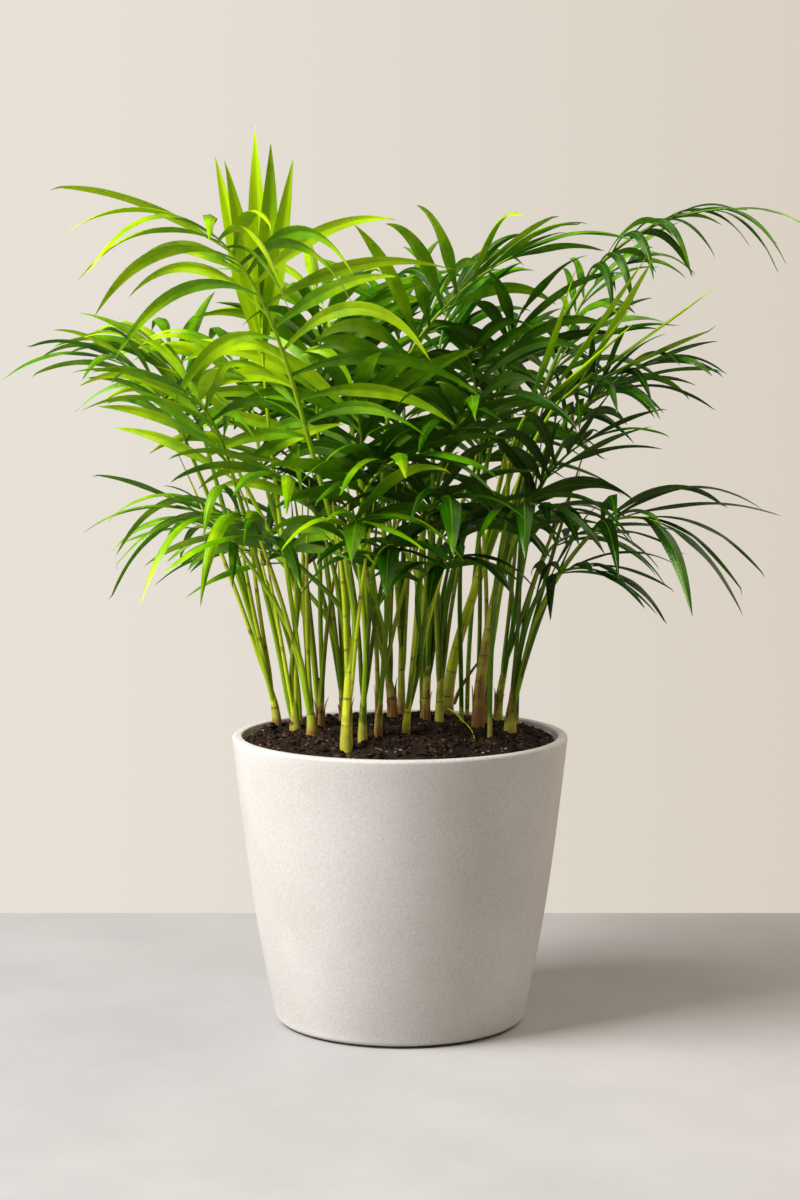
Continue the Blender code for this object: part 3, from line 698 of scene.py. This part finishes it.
# Small fronds that fill the bush, in the columns of FRONDS, which the solids leave out.
SMALL_FRONDS = (
    (8, (-2, -62, 298), (4, -88, 318), (12, -112, 324), 74, 5, 10, 56, 1.3, 0.35),
    (11, (28, -52, 294), (40, -76, 310), (54, -96, 314), 76, 5, 10, 56, 1.2, 0.25),
    (6, (-50, -80, 312), (-64, -100, 328), (-80, -116, 330), 76, 5, 9.6, 56, 1.2, 0.5),
    (13, (40, -8, 312), (50, -34, 336), (62, -60, 344), 80, 6, 9.6, 56, 1.1, 0.25),
    (9, (-16, 16, 306), (-18, -8, 334), (-18, -32, 344), 80, 6, 9, 56, 1, 0.35),
    (3, (-84, -30, 310), (-104, -42, 334), (-126, -52, 344), 78, 6, 8, 56, 1.1, 0.55),
    (16, (88, 4, 318), (104, -14, 334), (122, -30, 338), 74, 5, 8.4, 54, 1.2, 0.2),
    (12, (14, 58, 320), (8, 80, 342), (0, 100, 348), 78, 5, 8, 56, 1.1, 0.3),
    (5, (-66, 58, 300), (-84, 76, 316), (-100, 92, 320), 74, 5, 7.6, 56, 1.1, 0.45),
    (17, (92, 80, 306), (104, 98, 322), (116, 116, 324), 72, 5, 7.4, 56, 1.1, 0.2),
    (15, (94, -32, 396), (106, -40, 408), (118, -48, 418), 120, 3, 9.6, 22, 0.1, 0.95),
    (16, (112, -6, 380), (134, -20, 406), (158, -36, 418), 84, 7, 7.6, 50, 1.1, 0.3),
    (4, (-96, 24, 372), (-120, 26, 412), (-146, 24, 438), 88, 7, 7.6, 56, 1, 0.6),
)


def grow_stalk(skin, row, line, cell, tone):
    """A frond's stalk and rib, which widens into a sheath on its cane."""
    root = PETIOLE_RADIUS
    if not stands_alone(row):
        cane = CANES[row[0] - 1]
        before, top = cane_route(cane)[-2:]
        lean = (top - before).normalized()
        aside = line[0] - top - lean * CROWN_GAP
        line = [top - lean * depth + aside * share for depth, share in SHEATH_ROOTS] + line
        root = max(root, cane[5] / 2 * MM * SHEATH_WIDTH)
    line = smooth_line(line, 2 * (len(line) - 1))
    far = distances(line)
    rib_start = far[-1] * RIB_FROM
    radii = []
    for distance in far:
        opening = min(1, max(0, SHEATH_OPENS - distance / SHEATH_LENGTH))
        slim = max(0, distance - rib_start) / (far[-1] - rib_start)
        thin = PETIOLE_RADIUS + (RIB_TIP_RADIUS - PETIOLE_RADIUS) * slim
        radii.append(thin + (root - PETIOLE_RADIUS) * opening ** SHEATH_CLOSING)
    ages = [0] * len(line)
    if stands_alone(row):
        ages = [max(0, 1 - distance / (2 * SOCKET_DEPTH)) for distance in far]
    skin.tube(line, radii, STALK_SIDES, ages, cell, tone, 1, far)


def fine_frond(number, row, line, leaflets, *materials):
    """A frond with thin blades, a round rib and a sheathing stalk."""
    skin = Skin()
    fresh = row[-1]
    for item, (middle, sides, width) in enumerate(leaflets):
        end = middle[-1]
        # Painted light: leaflets ending to the left and high up get a fresher tone. Painted shade:
        # those near the bush's middle get a darker one.
        painted_light = PAINTED_LIGHT_TOP * (end.z - MID_HEIGHT) - PAINTED_LIGHT_LEFT * end.x
        painted_shade = max(0, 1 - (end * LEVEL).length / PAINTED_SHADE_REACH)
        tone = fresh + painted_light - PAINTED_SHADE_INNER * painted_shade + LEAF_VARIES * vary(number, item, 8)
        grow_blade(skin, middle, sides, width, number, item, tone)
    tone = fresh + STALK_VARIES * vary(number, 0, 9)
    grow_stalk(skin, row, line, 2 * len(leaflets), tone)
    return skin.finish(f"frond_{number:02d}_leaves", len(leaflets) + 1, *materials)


# ---- fine canes ----

# A cane swells at its foot, slims upwards and necks in at its crown.
CANE_SIDES = 20
CANE_STEPS = 60
CANE_NECK = 26 * MM
CANE_SLIMS = 0.5
FOOT_SWELL = 0.15
FOOT_REACH = 9 * MM
NODE_STEP = 17 * MM

# How far a cane's foot is woody, how brown; how fresh its skin is; how each varies.
WOODY_REACH, WOODY_VARIES = 13, 9
FOOT_BROWN, BROWN_VARIES = 0.7, 0.3
CANE_TONE, TONE_VARIES = 0.6, 0.45
# Painted light: how much lighter a cane's tone gets the further left it stands, towards the key
# light.
PAINTED_LIGHT_CANE_LEFT = 2.5

# Older canes, by number, and how brown they have turned.
OLD_CANES = {4: 0.3, 8: 0.25, 9: 0.75, 12: 0.4, 15: 0.85, 16: 0.55, 17: 0.35}
OLD_BROWN = 0.8
OLD_FADES = 0.6

# Spears, rolled leaves that have yet to open, and where on its cane the first one parts.
SPEARS = 3
SPEAR_SIDES = 8
SPEAR_STEPS = 14
SPEAR_FROM = 0.42
SPEAR_RADIUS = 1.4 * MM
SPEAR_LEAN = 0.13
SPEAR_REACH = (105 * MM, 170 * MM)
SPEAR_POINT = 3 * MM

# Papery remains of sheaths round each cane's foot.
FLAKES = 4
FLAKE_WIDTH = 3 * MM

# A pale root that crept out over the mix, and the brown stub of a stalk.
ROOT_LINE = (
    (32, 45, 200), (36, 28, 200), (41, 10, 197.5), (46, -20, 196), (48, -40, 192), (48, -53, 187),
)
STUB_LINE = ((36, 33, 205), (40, 31, 215), (46, 29, 225), (53, 27, 235))
ROOT_STEPS = 24


def fine_cane(number, row, material):
    """A cane with a woody, swollen foot and a slimmer top."""
    line = cane_route(row, CANE_STEPS)
    far = distances(line)
    height = far[-1] - far[1]
    thickness = row[5] / 2 * MM
    woody_reach = (WOODY_REACH + WOODY_VARIES * vary(number, 2, 9)) * MM
    foot_brown = FOOT_BROWN + BROWN_VARIES * vary(number, 3, 9)
    old = OLD_CANES.get(number, 0)
    radii, ages = [], []
    for distance in far:
        above = max(0, distance - far[1])
        slim = 1 - CANE_SLIMS * above / height
        neck = min(1, (height - above) / CANE_NECK)
        swell = FOOT_SWELL * exp(-above / FOOT_REACH)
        radii.append(thickness * (slim * (1 + neck) / 2 + swell))
        woody = foot_brown * exp(-above / woody_reach)
        ages.append(min(1, woody + OLD_BROWN * old * (1 - OLD_FADES * above / height)))
    skin = Skin(far[-1] / NODE_STEP)
    # Canes to the left get a lighter tone as painted light.
    tone = CANE_TONE + TONE_VARIES * vary(number, 4, 9) - PAINTED_LIGHT_CANE_LEFT * line[1].x
    skin.tube(line, radii, CANE_SIDES, ages, 0, tone, 0, far)
    for item in range(SPEARS):
        grow_spear(skin, line, thickness, number, item, tone - 0.1)
    for item in range(FLAKES if old else 1):
        grow_flake(skin, line, radii, number, item)
    return skin.finish(f"cane_{number:02d}_skin", 1 + SPEARS + FLAKES, material)


def grow_spear(skin, line, radius, number, item, tone):
    """A rolled leaf that rises from its cane's side into the foliage."""
    low = int(CANE_STEPS * (SPEAR_FROM + 0.3 * vary(number, item, 11)))
    angle = tau * (item + 0.3 * vary(number, item, 12)) / SPEARS + number
    out = polar(1, angle)
    way = (line[low + 1] - line[low]).normalized()
    reach = SPEAR_REACH[0] + (SPEAR_REACH[1] - SPEAR_REACH[0]) * abs(vary(number, item, 13))
    lean = SPEAR_LEAN * (1 + 0.6 * vary(number, item, 14))
    route, radii = [], []
    for share in shares(SPEAR_STEPS):
        aside = radius * min(1, 0.2 + 5 * share) * 0.6 + lean * reach * share ** 1.7
        route.append(line[low] + way * (reach * share) + out * aside)
        radii.append(SPEAR_RADIUS * min(1, 0.3 + 7 * share, 1.9 - 1.7 * share))
    tip = route[-1] + way * SPEAR_POINT
    skin.tube(route, radii, SPEAR_SIDES, [0] * len(route), 2 * (1 + item), tone, tip=tip)


def grow_flake(skin, line, radii, number, item):
    """A dry strip of an old sheath, which peels from its cane."""
    low = 2 + int(12 * abs(vary(number, item, 15)))
    angle = tau * item / FLAKES + 2 * number
    out = polar(1, angle)
    reach = (13 + 9 * vary(number, item, 16)) * MM
    peel = (1.5 + 1.4 * vary(number, item, 17)) * MM
    route = []
    for share in shares(BLADE_STEPS):
        place = line[low] + UP * (reach * share)
        route.append(place + out * (radii[low] + peel * share ** 3))
    tone = 0.5 + 0.4 * vary(number, item, 18)
    sides = blade_sides(route, out)
    grow_blade(skin, route, sides, FLAKE_WIDTH, number, 1 + SPEARS + item, tone, 1)


def creeping_root(material):
    """The pale root and the brown stub, as one piece."""
    skin = Skin()
    for cell, points, radius, tone, age in (
        (0, ROOT_LINE, 0.55 * MM, 1.1, 0.12), (2, STUB_LINE, 1.5 * MM, 0.3, 1.0),
    ):
        line = smooth_line([Vector(point) * MM for point in points], ROOT_STEPS)
        radii = [radius * (1 - share / 2) for share in shares(ROOT_STEPS)]
        skin.tube(line, radii, SPEAR_SIDES, [age] * len(line), cell, tone)
    return skin.finish("creeping_root", 2, material)


# ---- fine pot and potting mix ----

POT_SECTORS = 160
SOIL_SECTORS = 240
SOIL_BANDS = 60
SOIL_BANDS_POWER = 0.8

# Lumps of the mix: how many a metre and how high, in millimetres.
LUMPS = ((60, 3.6), (190, 3.2))
LUMPS_LOWER = 0.6

# Crumbs: round ones, and from these marks on the dice flat bark chips and pale flecks.
CRUMBS = 6000
CRUMB_SEED = 7
CHIPS_FROM = 0.84
FLECKS_FROM = 0.955

# A crumb's rings: height, width and corners; and the faces between the first two of them,
# which the last two repeat upside down.
CRUMB_RINGS = ((-0.7, 0.6, 3), (0, 1, 5), (0.7, 0.6, 3))
BAND = (
    (0, 4, 3), (0, 5, 4), (0, 1, 5), (1, 6, 5), (1, 7, 6), (1, 2, 7), (2, 3, 7), (2, 0, 3),
)
UPPER_BAND = tuple(tuple(c + 8 if c < 3 else c for c in face[::-1]) for face in BAND)
CRUMB_FACES = ((2, 1, 0), (8, 9, 10), *BAND, *UPPER_BAND)


def turned_mesh(name, profile, sectors, material, lift=None):
    """A turned body from a profile that starts and ends on the axis."""
    points = [UP * profile[end][1] for end in (0, -1)]
    rings = profile[1:-1]
    for radius, height in rings:
        points += [polar(radius, angle, height) for angle in circle(sectors)]
    if lift:
        points = [point + UP * lift(point) for point in points]
    faces = []
    for k in range(sectors):
        after = (k + 1) % sectors
        faces.append((0, 2 + k, 2 + after))
        for i in range(len(rings) - 1):
            low, high = 2 + sectors * i, 2 + sectors * (i + 1)
            faces.append((low + k, high + k, high + after, low + after))
        faces.append((high + after, high + k, 1))
    obj = mesh_object(name, points, faces, material)
    obj.data.shade_smooth()
    obj.data.set_sharp_from_angle(angle=SHARP_ANGLE)
    return obj


def soil_roughness(point):
    """How far the mix stands above its mean level at a point."""
    if point.z < SOIL_EDGE - 1 * MM:
        return 0
    return (sum(high * noise.noise(point * rate) for rate, high in LUMPS) - LUMPS_LOWER) * MM


def fine_soil(material):
    """The mix with an uneven top."""
    edge = inner_radius(SOIL_EDGE) - FIT_GAP
    radii = [edge * share ** SOIL_BANDS_POWER for share in shares(SOIL_BANDS)]
    profile = [(radius, soil_height(radius)) for radius in radii]
    profile += hollow_side(FIT_GAP, WALL_LEVELS, 2)[::-1]
    return turned_mesh("potting_mix", profile, SOIL_SECTORS, material, soil_roughness)


def crumb_points(dice, size, flatness):
    """The corners of an uneven, dented lump about a point."""
    stretch = Vector((dice.uniform(0.8, 1.9), dice.uniform(0.7, 1.1), flatness)) * size
    turn = Matrix.Rotation(dice.uniform(0, tau), 3, "Z")
    turn @= Matrix.Rotation(dice.uniform(-0.6, 0.6), 3, "X")
    corners = []
    for z, wide, count in CRUMB_RINGS:
        for k in range(count):
            angle = tau * (k + dice.uniform(-0.25, 0.25)) / count
            place = polar(wide, angle, z) * stretch
            corners.append(turn @ (place * dice.uniform(0.75, 1.2)))
    return corners


def fine_crumbs(material):
    """Crumbs, bark chips and pale flecks strewn over the mix."""
    dice = random.Random(CRUMB_SEED)
    points, faces, tones = [], [], []
    for _ in range(CRUMBS):
        radius = sqrt(dice.random()) * (inner_radius(SOIL_EDGE) - 3 * MM)
        angle = dice.uniform(0, tau)
        spot = polar(radius, angle, soil_height(radius))
        spot.z += soil_roughness(spot)
        kind, share = dice.random(), dice.random()
        size, flatness, tone = 0.5 + 2.6 * share ** 3, 1.0, 0.4 * dice.random() ** 2
        if kind > CHIPS_FROM:
            size, flatness, tone = 0.7 + share, 0.35, dice.uniform(0.4, 0.7)
        if kind > FLECKS_FROM:
            size, flatness, tone = 0.35 + 0.6 * share, 0.8, dice.uniform(0.75, 1)
        base = len(points)
        points += [spot + corner for corner in crumb_points(dice, size * MM, flatness)]
        faces += [tuple(base + corner for corner in face) for face in CRUMB_FACES]
        tones += [tone] * len(CRUMB_FACES)
    obj = mesh_object("soil_crumbs", points, faces, material)
    give_values(obj.data, "tone", "FACE", tones)
    return obj


# ---- materials ----

class Shader:
    """The nodes of a material or a world."""

    def __init__(self, owner):
        owner.use_nodes = True
        self.tree = owner.node_tree
        self.tree.nodes.clear()

    def add(self, kind, values=None, out=0, **settings):
        """An output of a new node, whose inputs are values or others' outputs."""
        made = self.tree.nodes.new("ShaderNode" + kind)
        for title, setting in settings.items():
            setattr(made, title, setting)
        for title, value in (values or {}).items():
            if isinstance(value, bpy.types.NodeSocket):
                self.tree.links.new(value, made.inputs[title])
            else:
                made.inputs[title].default_value = value
        return made.outputs[out]

    def mix(self, share, low, high):
        """A colour between two others."""
        return self.add("Mix", {0: share, 6: low, 7: high}, 2, data_type="RGBA")

    def calc(self, operation, first, second=0):
        return self.add("Math", {0: first, 1: second}, operation=operation)

    def plus(self, first, second):
        return self.calc("ADD", first, second)

    def times(self, first, second):
        return self.calc("MULTIPLY", first, second)

    def scaled(self, value, low, high, out_low=0, out_high=1):
        """A value brought softly from one range into another."""
        values = {0: value, 1: low, 2: high, 3: out_low, 4: out_high}
        return self.add("MapRange", values, interpolation_type="SMOOTHSTEP")

    def attribute(self, name):
        return self.add("Attribute", out="Fac", attribute_name=name)

    def strip(self):
        """The map that runs across and along each blade and stem."""
        return self.add("UVMap", uv_map="Strip")

    def parts(self, place):
        """The first two parts of a place."""
        return self.add("SeparateXYZ", {0: place}).node.outputs[:2]

    def ramp(self, value, *stops):
        """A colour read from stops, each a place and a colour."""
        made = self.add("ValToRGB", {0: value})
        elements = made.node.color_ramp.elements
        while len(elements) < len(stops):
            elements.new(0.5)
        for element, (place, colour) in zip(elements, stops):
            element.position = place
            element.color = (*colour, 1)
        return made

    def noise(self, scale, detail=3, roughness=0.55, where=None):
        where = where or self.add("TexCoord", out="Object")
        values = {"Vector": where, "Scale": scale, "Detail": detail, "Roughness": roughness}
        return self.add("TexNoise", values)

    def fibres(self, across, along, detail=3):
        """Noise drawn out along each blade and stem."""
        values = {0: self.strip(), 1: (across, along, 1.0)}
        where = self.add("VectorMath", values, operation="MULTIPLY")
        return self.noise(1, detail, where=where)

    def bump(self, height, distance, strength=1):
        return self.add("Bump", {"Height": height, "Distance": distance, "Strength": strength})

    def coat(self, colour, rough, normal=None, shine=0.5, tint=(1, 1, 1, 1)):
        """The usual surface shader."""
        values = {"Base Color": colour, "Roughness": rough, "Specular IOR Level": shine}
        if normal:
            values["Normal"] = normal
        return self.add("BsdfPrincipled", {**values, "Specular Tint": tint})

    def show(self, shader, kind="OutputMaterial"):
        self.tree.links.new(shader, self.tree.nodes.new("ShaderNode" + kind).inputs[0])


def new_material(name, surface):
    """A material whose surface a function makes."""
    material = bpy.data.materials.new(name)
    net = Shader(material)
    net.show(surface(net))
    return material


# Greens of a leaf from its darkest to its freshest.
LEAF_GREENS = (
    (0, (0.0008, 0.02, 0.0002)), (0.35, (0.01, 0.085, 0.0002)),
    (0.7, (0.15, 0.38, 0.0002)), (1, (0.5, 0.71, 0.0002)),
)
VEINS = 11

# Browns of the mix from damp peat to pale flecks.
MIX_BROWNS = (
    (0, (0.008, 0.0035, 0.0012)), (0.35, (0.034, 0.015, 0.0045)),
    (0.65, (0.2, 0.09, 0.03)), (1, (0.65, 0.5, 0.32)),
)


def leaf_surface(net):
    """Glossy blades with a pale midrib and fine veins, paler underneath, with painted shade towards
    each root.
    """
    across, along = net.parts(net.strip())
    patch = net.noise(45)
    streak = net.fibres(34, 3)
    underside = net.attribute("underside")
    fresh = net.plus(net.attribute("tone"), net.scaled(patch, 0.25, 0.75, -0.16, 0.16))
    fresh = net.plus(fresh, net.scaled(streak, 0.2, 0.8, -0.08, 0.08))
    # Painted shade: each blade is darker towards its root, inside the frond.
    fresh = net.plus(fresh, net.scaled(along, 0, 0.7, -0.2, 0.05))
    green = net.ramp(fresh, *LEAF_GREENS)

    off_middle = net.calc("ABSOLUTE", net.calc("SUBTRACT", across, 0.5))
    midrib = net.scaled(off_middle, 0, 0.05, 1, 0)
    veins = net.scaled(net.calc("SINE", net.times(across, tau * VEINS)), 0.2, 1)
    dry = net.times(net.scaled(along, 0.93, 1), net.scaled(patch, 0.5, 0.62))
    green = net.mix(net.times(veins, 0.16), green, (0.14, 0.36, 0.004, 1))
    green = net.mix(net.times(midrib, 0.4), green, (0.34, 0.5, 0.03, 1))
    green = net.mix(dry, green, (0.3, 0.2, 0.05, 1))
    green = net.mix(net.times(underside, 0.14), green, (0.16, 0.38, 0.01, 1))

    height = net.plus(net.times(veins, -0.4), net.times(midrib, -1))
    height = net.plus(height, net.times(streak, 0.8))
    height = net.times(height, net.scaled(along, 0.5, 0.9, 1, 0))
    normal = net.bump(height, 0.3 * MM, 0.55)
    rough = net.plus(net.scaled(streak, 0.2, 0.8, 0.18, 0.3), net.times(underside, 0.15))
    gloss = net.coat(green, rough, normal, 0.3, (0.8, 1, 0.4, 1))
    glow = net.mix(0.25, green, (0.3, 0.7, 0, 1))
    through = net.add("BsdfTranslucent", {"Color": glow, "Normal": normal})
    return net.add("MixShader", {0: 0.24, 1: gloss, 2: through})


def stalk_surface(net):
    """Smooth yellow green stems, tan and scarred where they are old."""
    fibre = net.fibres(26, 5, 4)
    patch = net.noise(120)
    rings = net.attribute("rings")
    fresh = net.plus(net.attribute("tone"), net.scaled(fibre, 0.2, 0.8, -0.25, 0.25))
    fresh = net.calc("POWER", net.calc("MAXIMUM", fresh, 0), 1.4)
    on_cane = net.calc("MINIMUM", rings, 1)
    deep = net.mix(on_cane, (0.022, 0.1, 0.0005, 1), (0.028, 0.07, 0.0005, 1))
    full = net.mix(on_cane, (0.42, 0.64, 0.01, 1), (0.64, 0.72, 0.03, 1))
    green = net.mix(fresh, deep, full)

    worn = net.plus(net.attribute("age"), net.scaled(patch, 0.3, 0.7, -0.22, 0.14))
    woven = net.scaled(fibre, 0.3, 0.7)
    tan = net.mix(woven, (0.13, 0.055, 0.014, 1), (0.42, 0.24, 0.075, 1))
    green = net.mix(net.scaled(worn, 0.05, 0.4), green, (0.42, 0.4, 0.05, 1))
    colour = net.mix(net.scaled(worn, 0.35, 0.8), green, tan)

    step = net.calc("FRACT", net.times(net.parts(net.strip())[1], rings))
    scar = net.times(net.scaled(step, 0.86, 0.93), net.scaled(step, 0.94, 1, 1, 0))
    scar = net.times(scar, net.scaled(patch, 0.35, 0.6, 0.3, 1))
    colour = net.mix(net.times(scar, 0.75), colour, (0.13, 0.075, 0.02, 1))
    normal = net.bump(net.plus(fibre, net.times(scar, 1.6)), 0.3 * MM, 0.6)
    rough = net.scaled(fibre, 0.2, 0.8, 0.26, 0.44)
    return net.coat(colour, rough, normal, 0.3, (1, 1, 0.6, 1))


def stone_surface(net):
    """Pale cast stone, softly mottled, with a fine grain and tiny pits darkened as painted shade.
    """
    cloud, grain = net.noise(14, 5), net.noise(640, 2, 0.7)
    mottle = net.scaled(cloud, 0.3, 0.7)
    stone = net.mix(mottle, (0.52, 0.49, 0.455, 1), (0.57, 0.542, 0.508, 1))
    stone = net.mix(net.scaled(grain, 0.5, 0.7, 0, 0.32), stone, (0.36, 0.33, 0.29, 1))
    stone = net.mix(net.scaled(grain, 0.28, 0.5, 0.22, 0), stone, (0.8, 0.77, 0.73, 1))
    place = net.add("TexCoord", out="Object")
    cell = net.add("TexVoronoi", {"Vector": place, "Scale": 110}, "Distance")
    pit = net.scaled(cell, 0.02, 0.045, 1, 0)
    # Painted shade darkens the tiny pits.
    stone = net.mix(net.times(pit, 0.18), stone, (0.33, 0.3, 0.27, 1))
    normal = net.bump(net.calc("SUBTRACT", net.times(grain, 0.3), pit), 0.2 * MM, 0.4)
    return net.coat(stone, net.scaled(cloud, 0.3, 0.7, 0.72, 0.86), normal)


def mix_surface(net):
    """Dark mix, or its crumbs where a tone lightens them."""
    grain = net.noise(260, 4, 0.7)
    tone = net.plus(net.attribute("tone"), net.scaled(grain, 0.3, 0.7, -0.12, 0.2))
    colour, normal = net.ramp(tone, *MIX_BROWNS), net.bump(grain, 1.5 * MM)
    rough = net.scaled(grain, 0.3, 0.7, 0.75, 0.98)
    return net.coat(colour, rough, normal, 0.25)


def floor_surface(net):
    """Plain pale concrete."""
    cloud = net.scaled(net.noise(9, 6, 0.6), 0.3, 0.7)
    return net.coat(net.mix(cloud, (0.36, 0.35, 0.34, 1), (0.395, 0.384, 0.373, 1)), 0.7)


# ---- studio ----

FLOOR_BACK = 0.311
FLOOR_REACH = 4.0
CAMERA_PLACE = (0, -1.766, 0.467)
CAMERA_TILT = 6.1
CAMERA_LENS = 81.5

# Each light's name, place, target, size in metres, power in watts and colour.
LIGHTS = (
    ("key", (-1.6, -0.8, 1.9), (0, 0, 0.3), 1.3, 138, (1, 0.995, 1)),
    ("top", (1.3, 0.9, 1.8), (0, 0, 0.1), 2.2, 13, (1, 0.9, 0.77)),
    ("low", (0.8, 0.0, 0.7), (0.65, -0.05, 0), 1.0, 5.5, (1, 0.9, 0.8)),
)

# The backdrop on the left and right, lighter on the left as painted light, how far it changes, and
# the fill light.
WALL_COLOURS = (0.82, 0.765, 0.69, 1), (0.70, 0.635, 0.55, 1)
WALL_SPREAD = 0.2
FILL_COLOUR = (1, 0.9, 0.75, 1)
FILL_POWER = 0.12


def pale_floor():
    """A table top that ends behind the pot, before an even backdrop."""
    side, back = FLOOR_REACH, FLOOR_BACK
    corners = [(-side, -side, 0), (side, -side, 0), (side, back, 0), (-side, back, 0)]
    material = new_material("pale_floor", floor_surface)
    mesh_object("floor", corners, [(0, 1, 2, 3)], material)


def backdrop():
    """A wall to the camera, painted lighter on the left, and a dim fill to all else."""
    world = bpy.data.worlds.new("backdrop")
    net = Shader(world)
    way = net.parts(net.add("TexCoord", out="Generated"))[0]
    # Painted light: the wall that the camera sees is lighter on the left, towards the key light.
    wall = net.mix(net.scaled(way, -WALL_SPREAD, WALL_SPREAD), *WALL_COLOURS)
    seen = net.add("Background", {0: wall})
    fill = net.add("Background", {0: FILL_COLOUR, 1: FILL_POWER})
    by_camera = net.add("LightPath", out="Is Camera Ray")
    net.show(net.add("MixShader", {0: by_camera, 1: fill, 2: seen}), "OutputWorld")
    return world


def studio():
    """The lights, the backdrop and the camera."""
    for name, place, target, size, power, colour in LIGHTS:
        lamp = bpy.data.lights.new(name, "AREA")
        lamp.size, lamp.energy, lamp.color = size, power, colour
        obj = placed(name, lamp)
        obj.location = place
        way = Vector(target) - Vector(place)
        obj.rotation_euler = way.to_track_quat("-Z", "Y").to_euler()
    scene = bpy.context.scene
    scene.world = backdrop()
    scene.view_settings.view_transform = "Standard"
    camera = bpy.data.cameras.new("camera")
    camera.lens = CAMERA_LENS
    scene.camera = placed("camera", camera)
    scene.camera.location = CAMERA_PLACE
    scene.camera.rotation_euler = (radians(90 - CAMERA_TILT), 0, 0)


# ---- the object ----

# Fronds whose leaflets are still young, by number.
YOUNG_FRONDS = (2, 6)


def dress(piece, slot, *nodes):
    """Fix a piece to the part and hide the solids that it stands for; its slot is not used."""
    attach(piece, "root")
    if nodes:
        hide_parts(*nodes)


leaf, stalk = new_material("leaf", leaf_surface), new_material("stalk", stalk_surface)
stone = new_material("cast_stone", stone_surface)
dress(turned_mesh("stone_pot", pot_profile(), POT_SECTORS, stone), "pot_stone", "pot")
dress(fine_soil(new_material("potting_mix", mix_surface)), "potting_mix", "soil")
dress(fine_crumbs(new_material("mix_crumbs", mix_surface)), "potting_mix")

thicket = Thicket()
for number, row in enumerate(CANES, 1):
    dress(fine_cane(number, row, stalk), "cane", f"cane_{number:02d}")
    thicket.add(*stem_body(cane_route(row), row[5] / 2 * MM), ("cane", number))
dress(creeping_root(stalk), "cane")

for rows, count_from in ((FRONDS, 1), (SMALL_FRONDS, len(FRONDS) + 1)):
    lines = grow_stems(rows, count_from, thicket)
    grown = grow_leaflets(rows, count_from, lines, thicket)
    for number, (row, line, leaflets) in enumerate(zip(rows, lines, grown), count_from):
        frond = fine_frond(number, row, line, leaflets, leaf, stalk)
        nodes = [f"frond_{number:02d}"] if rows is FRONDS else []
        dress(frond, "young_leaf" if number in YOUNG_FRONDS else "leaf", *nodes)

pale_floor()
studio()
